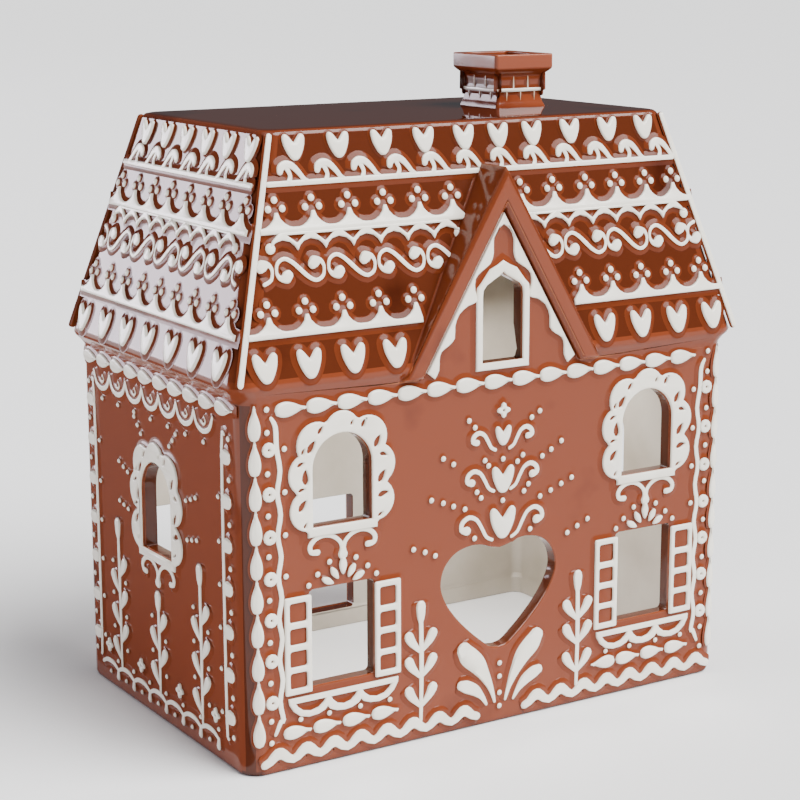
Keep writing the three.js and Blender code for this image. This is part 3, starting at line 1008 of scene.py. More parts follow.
class Coat(Enum):
    """Coats of glaze on the shell, in the order of its material slots. ROOF and REVEAL are darker
    copies of the wall glaze that paint shade; TOP is a much darker copy that paints a dark
    reflection.
    """

    WALL = 0
    ROOF = 1
    TOP = 2
    REVEAL = 3
    INSIDE = 4


@dataclass(frozen=True)
class Gable:
    """The dormer's gable and the boards on it."""

    apex: float = 260.0
    spread: float = 0.59
    board_drop: float = 18.5
    board_proud: float = 4.2
    depth: float = 46.0

    def outline(self, apex: float, foot: float) -> Line:
        """Triangle of the dormer between two heights."""
        half = (apex - foot) * self.spread
        return straight_outline([(-half, foot), (half, foot), (0, apex)])


GABLE = Gable()
# Middle of the chimney, and half width and half depth of its flue
CHIMNEY_X = 58.0
FLUE = (8.5, 10.5)


@dataclass
class Shell:
    """Walls and roof with their openings, and the dormer."""

    edge: float = 0.8

    def outer(self) -> Thing:
        """The solid outside of walls, eaves and roof."""
        h = HOUSE
        return rounded_block([
            (h.half_width - 1.6, h.half_depth - 1.6, 0),
            (h.half_width - 0.5, h.half_depth - 0.5, 0.7),
            (h.half_width, h.half_depth, 2.4),
            (h.half_width, h.half_depth, h.wall_top - 0.5),
            (h.half_width + 0.5, h.half_depth + 0.3, h.wall_top + 1.6),
            (h.half_width + 2.2, h.half_depth + 1.4, h.wall_top + 4.0),
            (h.eave_x - 0.6, h.eave_y - 0.4, h.wall_top + 5.8),
            (h.eave_x, h.eave_y, h.wall_top + 7.4),
            (*h.roof_half(h.eave_z + 2.2, 0.1), h.eave_z + 2.2),
            (*h.roof_half(h.roof_top - 2.4), h.roof_top - 2.4),
            (*h.roof_half(h.roof_top - 1.2, 0.35), h.roof_top - 1.2),
            (*h.roof_half(h.roof_top - 0.35, 1.1), h.roof_top - 0.35),
            (*h.roof_half(h.roof_top, 2.6), h.roof_top),
            (*h.roof_half(h.roof_top, 6.0), h.roof_top),
        ], h.corner, 6)

    def hollow(self) -> Thing:
        """The solid that is taken out of the middle."""
        h = HOUSE
        band = h.wall + h.foot_proud
        flare = h.eave_z + 1.5
        ceiling = h.roof_top - h.wall
        return rounded_block([
            (h.half_width - band, h.half_depth - band, -5),
            (h.half_width - band, h.half_depth - band, h.foot_height),
            (h.half_width - h.wall, h.half_depth - h.wall, h.foot_height + 2),
            (h.half_width - h.wall, h.half_depth - h.wall, h.wall_top + 3),
            (*h.roof_half(flare, h.wall), flare),
            (*h.roof_half(ceiling, h.wall), ceiling),
        ], 5, 4)

    def openings(self) -> list[Thing]:
        """The solids that open windows, doorway, heart and dormer."""
        low_window = soft_rectangle(*LOW_WINDOW.box(), radius=1.8)
        door = soft_rectangle(*DOORWAY.box(), radius=1.8)
        cuts = [(line, face, u) for face in (Face.FRONT, Face.BACK) for u in (-WINDOW_U, WINDOW_U)
                for line in (arch(HIGH_WINDOW), low_window)]
        cuts += [(arch(GABLE_WINDOW), Face.LEFT, 0), (arch(GABLE_WINDOW), Face.RIGHT, 0),
                 (heart_opening(), Face.FRONT, 0), (ogee(DORMER_WINDOW), Face.FRONT, 0),
                 (door, Face.BACK, 0)]
        return [cutter(line, face.matrix(), *THROUGH, u) for line, face, u in cuts]

    def is_inside(self, place: Vector) -> bool:
        """Whether a face in this place is one of the bare inner faces."""
        x, y, z = abs(place.x) / MM, abs(place.y) / MM, place.z / MM
        h = HOUSE
        reach_x, reach_y = h.half_width - h.wall + 0.4, h.half_depth - h.wall + 0.4
        if z > h.wall_top + 3:
            reach_x, reach_y = h.roof_half(max(z, h.eave_z), h.wall - 0.6)
        return x < reach_x and y < reach_y and z < h.roof_top - h.wall + 0.6

    def coat(self, place: Vector, normal: Vector) -> Coat:
        """Which coat a face has.

        Args:
            place: Middle of the face.
            normal: Its direction.

        Returns:
            The coat.
        """
        if self.is_inside(place):
            return Coat.INSIDE
        x, y, z = abs(place.x) / MM, abs(place.y) / MM, place.z / MM
        h = HOUSE
        # The flat top gets a much darker copy of the glaze: a painted dark reflection
        if z > h.roof_top - 0.3:
            return Coat.TOP
        # The reveals of the openings, the dormer window's too, get the darker reveal copy of the
        # glaze: painted shade
        if x < h.half_width - 0.9 and y < h.half_depth - 0.9 and 1 < z < h.wall_top:
            return Coat.REVEAL
        if y < h.half_depth - 0.9 and x < DORMER_WINDOW.half + 0.5 and z < DORMER_WINDOW.top + 1:
            return Coat.REVEAL
        # Upward faces above the eave get the darker roof copy of the glaze: painted shade
        return Coat.ROOF if z > h.eave_z + 1 and normal.z > 0.1 else Coat.WALL

    def build(self, coats: dict[Coat, Material]) -> Thing:
        """Models the shell.

        Args:
            coats: Material of each coat.

        Returns:
            The piece.
        """
        front = Face.FRONT.matrix()
        proud = GABLE.board_proud
        shell = self.outer()
        outside = GABLE.outline(GABLE.apex, HOUSE.eave_z - 6)
        rounding = [(proud - 0.8, -0.6), (proud, -2.2)]
        cut(shell, cutter(outside, front, -GABLE.depth, proud - 2.2, steps=rounding), "UNION")
        panel = GABLE.outline(GABLE.apex - GABLE.board_drop, HOUSE.wall_top - 0.5)
        flare = [(proud - 1.2, 0.5), (proud - 0.2, 1.7), (12, 2.2)]
        cut(shell, cutter(panel, front, 0, proud - 2.4, steps=flare))
        cut(shell, self.hollow())
        inset = HOUSE.wall / math.sin(math.atan(GABLE.spread))
        room = GABLE.outline(GABLE.apex - inset, HOUSE.eave_z + 1.5)
        cut(shell, cutter(room, front, -GABLE.depth, -HOUSE.wall))
        for tool in self.openings():
            cut(shell, tool)
        flue = rounded_block([(*FLUE, HOUSE.roof_top - 14), (*FLUE, HOUSE.roof_top + 14)], 1, 1)
        flue.data.transform(Matrix.Translation((CHIMNEY_X * MM, 0, 0)))
        cut(shell, flue)
        tidy(shell, 2e-5)
        apply(shell, "BEVEL", width=self.edge * MM, segments=2, limit_method="ANGLE",
              angle_limit=math.radians(50), use_clamp_overlap=False)
        smooth(shell, 40)
        apply(shell, "WEIGHTED_NORMAL", keep_sharp=True, weight=80)
        finish_piece(shell, "house_shell", [coats[coat] for coat in Coat])
        for polygon in shell.data.polygons:
            polygon.material_index = self.coat(polygon.center, polygon.normal).value
        return shell


@dataclass
class Chimney:
    """Square chimney with a waisted shaft, a wide cap and white mortar lines."""

    half_x: float = 13.0
    half_y: float = 15.0
    cap_x: float = 17.0
    cap_y: float = 19.0
    mortar_z: float = 287.0

    def build(self, glaze: Material) -> None:
        """Models shaft and cap.

        Args:
            glaze: Material of the chimney.
        """
        top = HOUSE.roof_top
        x, y = self.half_x, self.half_y
        stack = rounded_block([
            *((x + out, y + out, z) for out, z in (
                (1.8, top - 3), (1.4, top + 0.6), (0.5, top + 2.5), (-0.2, top + 6),
                (-0.2, 291), (0.4, 294), (2.4, 295.6))),
            (self.cap_x, self.cap_y, 297.2), (self.cap_x, self.cap_y, 304),
        ], 1.5, 2)
        cut(stack, rounded_block([(*FLUE, top - 12), (*FLUE, 310)], 1, 1))
        cut(stack, rounded_block([(12.5, 14.5, 299), (12.5, 14.5, 310)], 1.5, 2))
        tidy(stack, 1e-5)
        apply(stack, "BEVEL", width=0.9 * MM, segments=3, limit_method="ANGLE",
              angle_limit=math.radians(30))
        smooth(stack, 40)
        apply(stack, "WEIGHTED_NORMAL", keep_sharp=True)
        stack.data.transform(Matrix.Translation((CHIMNEY_X * MM, 0, 0)))
        finish_piece(stack, "chimney_stack", [glaze])

    def mortar(self) -> Relief:
        """Mortar lines round the shaft, with upright joints above and below."""
        relief = Relief("chimney_mortar")
        z = self.mortar_z
        for right, out, half, reach in (
            ((1, 0, 0), (0, -1, 0), self.half_x, self.half_y),
            ((-1, 0, 0), (0, 1, 0), self.half_x, self.half_y),
            ((0, -1, 0), (-1, 0, 0), self.half_y, self.half_x),
            ((0, 1, 0), (1, 0, 0), self.half_y, self.half_x),
        ):
            origin = Vector((CHIMNEY_X, 0, 0)) + Vector(out) * (reach - 0.4)
            plane = plane_matrix(origin, Vector(right), Vector((0, 0, 1)))
            lines = [Line([(-half, z), (half, z)], widths=[2.2, 2.2])]
            for part in (-0.95, -0.32, 0.32, 0.95):
                lines.append(Line([(part * half, z), (part * half, z + 8)], widths=[1.7, 1.4]))
            for part in (-0.62, 0.0, 0.62):
                lines.append(Line([(part * half, z - 6.5), (part * half, z)], widths=[1.3, 1.6]))
            relief.put(stroke(lines, 2), plane)
        return relief


# Icing on walls and roof


class Pantry:
    """Motifs that are used on several faces, each made once."""

    def __init__(self) -> None:
        """Makes the motifs."""
        self.small_dot = dot(3.1)
        self.trefoil_dot = dot(3.8)
        self.ball = dot(5.4, 1.75)
        self.drop = patch([drop_outline(15.0, 6.4)], 1.3)
        self.slim_drop = patch([drop_outline(15.0, 5.0)], 1.2, fillet=CORNER_FILLET)
        self.ring = patch([circle(0, 0, 3.1), circle(0, 0, 0.75, 8)], 0.7)
        self.heart = patch([heart(11, 12)], 1.1)
        self.top_heart = patch([heart(10.4, 11)], 1.0, fillet=CORNER_FILLET)
        petal = [(0, 0), (1.7, 3.8), (0.9, 7), (0, 7.6), (-0.9, 7), (-1.7, 3.8)]
        self.petal = patch([smooth_outline(petal)], 0.9, fillet=1.0)
        self.bracket = self.make_bracket()
        self.flower = self.make_flower()

    @staticmethod
    def make_flower() -> Motif:
        """Small flower of four petals round a hole."""
        points = []
        for i in range(24):
            angle = 2 * math.pi * i / 24
            reach = 2.7 + 0.75 * math.cos(4 * angle)
            points.append((reach * math.cos(angle), reach * math.sin(angle)))
        return patch([straight_outline(points), circle(0, 0, 0.8, 8)], 0.6)

    @staticmethod
    def make_bracket() -> Motif:
        """Two curls that spring from a round foot, under a window."""
        arm = [(0, 0), (1.2, 3.4), (4.6, 6.4), (9.2, 7.6), (13.6, 6.6), (16.4, 3.8), (15.8, 0.9),
               (12.8, 0.4)]
        widths = [3.4, 2.6, 2.6, 2.7, 2.9, 3.0, 3.0, 3.4]
        foot = [(0, -0.4), (0, -1.9)]
        return stroke([Line(arm, widths=widths), Line(mirrored(arm), widths=widths),
                       Line(foot, widths=[4.2, 5.6])], 3)


@dataclass
class WallIcing:
    """Icing that all four walls share."""

    pantry: Pantry

    def garland(self, relief: Relief, plane: Matrix, v: float, middle: float, count: int) -> None:
        """Row of drops that point right.

        Args:
            relief: Where it goes.
            plane: The wall.
            v: Height of the row.
            middle: Its middle.
            count: How many drops.
        """
        relief.scatter(self.pantry.drop, plane, [(u, v) for u in evenly(count, DROP_PITCH, middle)])

    def corner_columns(self, relief: Relief) -> None:
        """Columns of drops that stand on the four rounded corners."""
        for side in (-1, 1):
            for toward in (-1, 1):
                plane = corner_matrix(side, toward, 20)
                for i in range(10):
                    relief.put(self.pantry.slim_drop, plane, 0, 21.5 + i * 15.2, turn=90)

    def lace_window(self, relief: Relief, plane: Matrix, u: float, opening: Opening) -> None:
        """Scalloped lace round an arched window, with its sill and the bracket under it.

        Args:
            relief: Where it goes.
            plane: The wall.
            u: Middle of the window.
            opening: The window.
        """
        top, sill = opening.top, opening.sill
        middle = (top + sill) / 2
        right = [(12.8, top - 3.5, 9.7), (17.2, top - 16.2, 9.4), (16.8, sill + 8.4, 9.3)]
        lobes = [(0, top + 1.2, 8.6)] + right + [(-x, y, r) for x, y, r in right]
        holes = [self.notch(x, y, top, size, turn) for x, y, size, turn in (
            (-11, 2.4, 2.8, 50), (-19.6, -6, 2.2, 60), (-15.6, -4.6, 4.2, 52),
            (-21, -11.5, 2.6, 20), (-18.4, -17.6, 4.6, 88), (-20.6, -22.8, 2.4, 10),
            (-20.2, -30, 4.0, 50), (-18.8, -38.8, 2.0, 60), (4.8, 4, 1.9, 60), (10.6, 3, 2.8, 60),
            (17.6, -6, 4.0, 60), (20.6, -12, 2.8, -20), (19.8, -22, 4.2, 55), (20.4, -30, 3.8, 10),
            (19, -39, 2.2, 30))]
        outline = cloud(lobes, middle, opening.half + 2.4, sill - 2.2)
        foot = [cloud(lobes, middle, opening.half + 4.2, sill - 4.4), arch(opening, CLEAR)]
        relief.put(patch([outline, arch(opening, 0.5), *holes], 0.75, foot=foot), plane, u)
        bar = rectangle(-opening.half - 2.6, sill - 3.8, opening.half + 2.6, sill - 0.2)
        relief.put(patch([bar], 0.9, RISE + 0.2, 0.3), plane, u)
        relief.put(self.pantry.bracket, plane, u, sill - 11.6)

    @staticmethod
    def notch(x: float, y: float, top: float, size: float, turn: float) -> Line:
        """Small tear-shaped gap in the lace.

        Args:
            x: Place to the right of the window's middle.
            y: Place above the window's top.
            top: Height of the window's top.
            size: Length of the gap.
            turn: Its turn in degrees.

        Returns:
            The outline of the gap.
        """
        angle = math.radians(turn)
        shape = [(-0.75, 0), (-0.2, 0.42), (0.5, 0.3), (0.85, 0), (0.4, -0.22), (-0.3, -0.36)]
        spun = [(x + size * (a * math.cos(angle) - b * math.sin(angle)),
                 top + y + size * (a * math.sin(angle) + b * math.cos(angle))) for a, b in shape]
        return smooth_outline(spun, 2)

    def sprig(self, relief: Relief, plane: Matrix, u: float, foot: float, top: float,
              leaves: Sequence[tuple[int, float]]) -> None:
        """Upright sprig with curled leaves and a bud.

        Args:
            relief: Where it goes.
            plane: The wall.
            u: Its middle.
            foot: Its lower end.
            top: Its tip.
            leaves: Side and height of each leaf's tip.
        """
        lines = [Line([(0, foot), (0.3, (foot + top) / 2), (0, top - 7)], widths=[2.4, 3.0, 2.8])]
        lines.append(Line([(0, top - 11), (0, top - 7.5), (0, top - 3)], widths=[2.6, 4.8, 5.8]))
        for side, height in leaves:
            points = [(0, height - 10.5), (side * 2.2, height - 8.2), (side * 4.7, height - 5.2),
                      (side * 6.2, height - 2.6)]
            lines.append(Line(points, widths=[2.4, 3.4, 5.0, 5.8]))
        relief.put(stroke(lines, 3), plane, u)


@dataclass
class LongWall:
    """Icing of a long wall: windows, lace lines, shutters, planters, ribbons and sprigs."""

    wall: WallIcing
    plane: Matrix

    def high_windows(self, relief: Relief) -> None:
        """Lace round both upper windows, with a fan of petals above the lower ones."""
        for u in (-WINDOW_U, WINDOW_U):
            self.wall.lace_window(relief, self.plane, u, HIGH_WINDOW)
            for x, y, turn in ((0, 86.2, 0), (-2.6, 84.5, 32), (2.6, 84.5, -32), (-5, 82.7, 62),
                               (5, 82.7, -62)):
                size = 0.82 if turn else 1.0
                relief.put(self.wall.pantry.petal, self.plane, u + x, y, turn, size=size)
            dots = ((-17.2, 83.5), (-12.7, 87.8), (-6.7, 92.6), (6.7, 92.6), (12.7, 87.8),
                    (17.2, 83.5))
            relief.scatter(self.wall.pantry.small_dot, self.plane, [(u + x, y) for x, y in dots])

    def low_windows(self, relief: Relief) -> None:
        """Shutters and planters of the lower windows, with dots and drops under them."""
        shutter = self.shutter()
        planter = self.planter()
        for u in (-WINDOW_U, WINDOW_U):
            for side in (-1, 1):
                relief.put(shutter, self.plane, u + side * (LOW_WINDOW.half + 6.4), mirror=side < 0)
            relief.put(planter, self.plane, u)
            dots = [(u + x, 23.2) for x in (-22, -7.5, 8.5, 24)]
            relief.scatter(self.wall.pantry.small_dot, self.plane, dots, 0.95)
            for i, x in enumerate(evenly(4, 15.0, -1.2)):
                turned = 180 if u > 0 and i == 0 else 0
                relief.put(self.wall.pantry.drop, self.plane, u + x, 17.8, turned, size=0.92)

    @staticmethod
    def shutter() -> Motif:
        """Open frame with four panes."""
        low, high = 35.3, 79.4
        panes = []
        for foot, head in ((37.7, 45.2), (47.6, 55.2), (57.8, 65.4), (68.0, 77.0)):
            panes.append(soft_rectangle(-4.4, foot, 4.4, head))
        foot = [soft_rectangle(CLEAR - 6.4, low, 6.5, high, 0.6)]
        return patch([soft_rectangle(-6.5, low, 6.5, high, 0.6), *panes], 0.7, foot=foot)

    @staticmethod
    def planter() -> Motif:
        """Hanging box with three half-round pockets."""
        left = [(-28, 33.4), (-27.8, 31.2), (-25.8, 27.8), (-22.4, 25), (-18, 23.9), (-13.4, 24.3),
                (-10, 25.6), (-8.6, 27.2), (-7.2, 25.4), (-3.8, 24)]
        outline = [*left, (0, 23.6), *mirrored(reversed(left))]
        side = [(-1, 31.1), (-0.84, 29.2), (-0.5, 27.1)]
        pocket = [*side, (0, 26.2), *mirrored(reversed(side))]
        pockets = [straight_outline([(centre + x * half, y) for x, y in pocket])
                   for centre, half in ((-17, 7.9), (0, 7.0), (17, 7.9))]
        return patch([straight_outline(outline), *pockets], 0.65)

    def lace_lines(self, relief: Relief) -> None:
        """Upright lines at both ends of the wall, with rings and dots."""
        heights = [146.5, 127, 108, 89.5, 71, 52.5, 33.5]
        points = [(118.6, 160), (116.6, 156)]
        for high, low in zip(heights, heights[1:] + [16]):
            points += [(116.2, high), (114.7, (high + low) / 2)]
        points += [(116, 24), (118.6, 18.5)]
        line = stroke([Line(points, widths=[2.2] + [3.0] * (len(points) - 2) + [2.2])], 3)
        for side in (-1, 1):
            relief.put(line, self.plane, mirror=side < 0)
            relief.scatter(self.wall.pantry.ring, self.plane, [(side * 120, v) for v in heights])
            outer = (164, 154, 136, 117.5, 99.5, 80, 61, 42.5, 25, 15)
            dots = [(side * 120.6, v) for v in outer]
            dots += [(side * 112.4, v) for v in (146, 127, 108, 89.5)]
            relief.scatter(self.wall.pantry.small_dot, self.plane, dots)

    def ribbons(self, relief: Relief, ends: Sequence[Point]) -> None:
        """Waving ribbons along the foot of the wall.

        Args:
            relief: Where they go.
            ends: Start and end of each ribbon.
        """
        for start, end in ends:
            waves = round((end - start) / 14.3)
            points = []
            widths = []
            for i in range(waves * 8 + 1):
                phase = i / 8 * 2 * math.pi
                u = start + (end - start) * i / (waves * 8)
                v = 7.9 - 1.9 * math.cos(phase) - 0.4 * math.cos(2 * phase)
                points.append((u + 0.9 * math.sin(phase), v))
                widths.append(5.5 - 0.9 * math.cos(phase))
            relief.put(stroke([Line(points, widths=widths)], 1), self.plane)

    def sprigs(self, relief: Relief) -> None:
        """The two sprigs beside the middle."""
        leaves = [(side, height) for height in (53, 41, 27) for side in (-1, 1)]
        for u in (-43.5, 44.5):
            self.wall.sprig(relief, self.plane, u, 10, 67, leaves)


@dataclass
class Middle:
    """Hearts, scrolls, commas and dots in the middle of a long wall."""

    wall: WallIcing
    plane: Matrix

    def tier(self, relief: Relief, v: float, width: float, size: float, lift: float) -> None:
        """A heart between two scrolls.

        Args:
            relief: Where it goes.
            v: Height of the heart.
            width: Width of the heart.
            size: Scale of the scrolls.
            lift: Height of the scrolls above the heart's middle.
        """
        relief.put(patch([heart(width, width * 1.06)], 1.0), self.plane, 0.9, v)
        curl = [(5.0, -6.6), (8.0, -4.8), (10.4, -0.6), (13.0, 3.3), (16.8, 4.8), (20.2, 3.0),
                (20.7, 0.1), (18.1, -0.8)]
        points = [(x * size, y * size) for x, y in curl]
        widths = [2.2, 2.3, 2.4, 2.5, 2.8, 3.0, 3.2, 4.6 * size]
        pair = [Line(points, widths=widths), Line(mirrored(points), widths=widths)]
        relief.put(stroke(pair, 3), self.plane, 0.6, v + lift)

    def commas(self, relief: Relief) -> None:
        """Two pairs of large commas that spring from the foot of the wall."""
        big = [(20.0, 38.4), (17.6, 35.2), (12.8, 30.6), (8.4, 24.0), (5.0, 17), (3.0, 10.6)]
        small = [(21.4, 21.8), (18.8, 20.8), (14, 18.2), (10.2, 14.4), (7.6, 10.2)]
        lines = []
        for points, widths in ((big, [9.0, 11.0, 10.2, 6.4, 3.4, 2.0]),
                               (small, [5.6, 7.0, 6.2, 3.6, 2.0])):
            lines.append(Line(points, widths=widths))
            lines.append(Line(mirrored(points), widths=widths))
        relief.put(stroke(lines, 4), self.plane, 0.3)

    def front_dots(self, relief: Relief) -> None:
        """Lines of dots that fan out from the hearts."""
        spots = [(0, 29), (0, 22.5), (0, 14.5), (0, 8), (-17.7, 146.5), (-14.5, 143),
                 (16.8, 144), (21.3, 146.5), (-31.5, 130.8), (-26, 127.5), (23, 125),
                 (28, 127.5), (33.8, 130.8), (-9, 127), (-7, 124.3), (1, 126.5), (12, 127),
                 (9, 124.3), (-37.8, 112.5), (-31.5, 110.3), (-26, 108), (-19.8, 105.8),
                 (22, 106), (28, 108), (34, 110.3), (40, 112.5), (-13.3, 112.8), (-11, 109.8),
                 (1, 107), (12.8, 109.8), (15.3, 112.8), (-14.5, 91.3), (16.5, 91.1),
                 (-47.3, 91.2), (-41.2, 89), (-35.7, 86.5), (38, 86), (43.7, 88.5), (49.7, 91)]
        relief.scatter(self.wall.pantry.small_dot, self.plane, spots)


@dataclass
class DoorIcing:
    """Frame, arch and fan round the doorway in the back wall."""

    wall: WallIcing

    def build(self, relief: Relief) -> None:
        """Places the icing round the doorway."""
        plane = Face.BACK.matrix()
        d = DOORWAY
        outer = rectangle(*d.box(4.6, 4, 4.6))
        inner = rectangle(*d.box(0.6, 0, 0.6))
        foot = [outer, rectangle(*d.box(CLEAR, CLEAR, CLEAR))]
        relief.put(patch([outer, inner], 0.9, foot=foot), plane)
        points = []
        for i in range(13):
            angle = math.pi * (1 - i / 12)
            points.append((24.5 * math.cos(angle), 79 + 14.5 * math.sin(angle)))
        relief.put(stroke([Line(points, widths=[3.0] * 13)], 2), plane)
        for turn in (-60, -30, 0, 30, 60):
            angle = math.radians(turn)
            u, v = -3 * math.sin(angle), 79 + 3 * math.cos(angle)
            relief.put(self.wall.pantry.petal, plane, u, v, turn)
        for turn in evenly(9, 20):
            angle = math.radians(turn)
            u, v = 30 * math.sin(angle), 80 + 19 * math.cos(angle)
            relief.put(self.wall.pantry.small_dot, plane, u, v)


@dataclass
class ShortWall:
    """Icing of a short wall: festoons, lobed borders, a lace window, sprigs and flowers."""

    wall: WallIcing
    plane: Matrix

    def festoon(self, relief: Relief) -> None:
        """Loops under the garland, with rings and dots, and a low festoon at the foot."""
        pitch = 17.7
        dot_mesh = self.wall.pantry.small_dot
        for i in range(7):
            u = -57 + i * pitch
            points = [(u - pitch / 2, 157), (u - 6, 151.6), (u, 149.4), (u + 6, 151.6),
                      (u + pitch / 2, 157)]
            curl = [(u + 0.6, 156), (u + 2.2, 154), (u + 0.4, 152.4), (u - 1.6, 153.6)]
            relief.put(stroke([Line(points, widths=[2.2, 2.8, 3.0, 2.8, 2.2]),
                               Line(curl, widths=[1.6, 1.8, 2.0, 2.2])], 3), self.plane)
            relief.put(dot_mesh, self.plane, u, 144.6, size=0.9)
            joint = u + pitch / 2
            foot = [(u - pitch / 2, 10.6), (u - 4.6, 12.6), (u, 13.2), (u + 4.6, 12.6),
                    (joint, 10.6)]
            drip = [(joint, 10.6), (joint, 8.6), (joint, 7.2)]
            relief.put(stroke([Line(foot, widths=[2.4, 2.8, 3.0, 2.8, 2.4]),
                               Line(drip, widths=[2.6, 3.2, 3.8])], 3), self.plane)
            relief.put(dot_mesh, self.plane, u, 7.8, size=0.85)
            relief.put(dot_mesh, self.plane, joint, 15.4, size=0.85)

    def borders(self, relief: Relief) -> None:
        """Upright lines near both corners, with half-round lobes and dots."""
        lobes = (142, 122.4, 102.8, 83.3, 63.7, 44.1, 24.5)
        line = [Line([(68.6, 152), (66.6, 146), (66.2, 85), (66.4, 22), (67.6, 14)],
                     widths=[2.4, 2.8, 2.8, 2.8, 2.4])]
        for v in lobes:
            line.append(Line([(69.6, v), (70.4, v)], widths=[8.0, 7.8]))
        motif = stroke(line, 3)
        for mirror in (False, True):
            side = -1 if mirror else 1
            relief.put(motif, self.plane, mirror=mirror)
            outer = [(side * 72.4, v) for v in (150.5, 132.5, 112.6, 93, 73.4, 54, 34.4, 16)]
            inner = [(side * 62, v) for v in (123, 103, 83.5, 64, 45, 25)]
            relief.scatter(self.wall.pantry.small_dot, self.plane, outer)
            relief.scatter(self.wall.pantry.small_dot, self.plane, inner, 0.9)

    def dots(self, relief: Relief) -> None:
        """Short lines of dots round the window."""
        right = [(30.5, 114), (35.2, 115.6), (40, 117.4), (31, 96), (35.6, 97), (40.4, 98),
                 (21.6, 142.5), (18.2, 139), (14.8, 135.6)]
        relief.scatter(self.wall.pantry.small_dot, self.plane, mirrored(right) + right, 0.9)

    def sprigs(self, relief: Relief) -> None:
        """Three sprigs, the outer two taller, with dots and small flowers."""
        tall = [(1, 70), (-1, 62), (1, 54), (-1, 45), (1, 37), (-1, 28)]
        for u, top, leaves in ((-43.5, 89, tall), (-1, 64, tall[2:]), (42.5, 88, tall)):
            self.wall.sprig(relief, self.plane, u, 13, top, leaves)
            dots = [(u - side * 7, height - 4) for side, height in leaves]
            relief.scatter(self.wall.pantry.small_dot, self.plane, dots, 0.85)
        flowers = [(u, 21.5) for u in (-57, -21, 20, 56)]
        relief.scatter(self.wall.pantry.flower, self.plane, flowers)


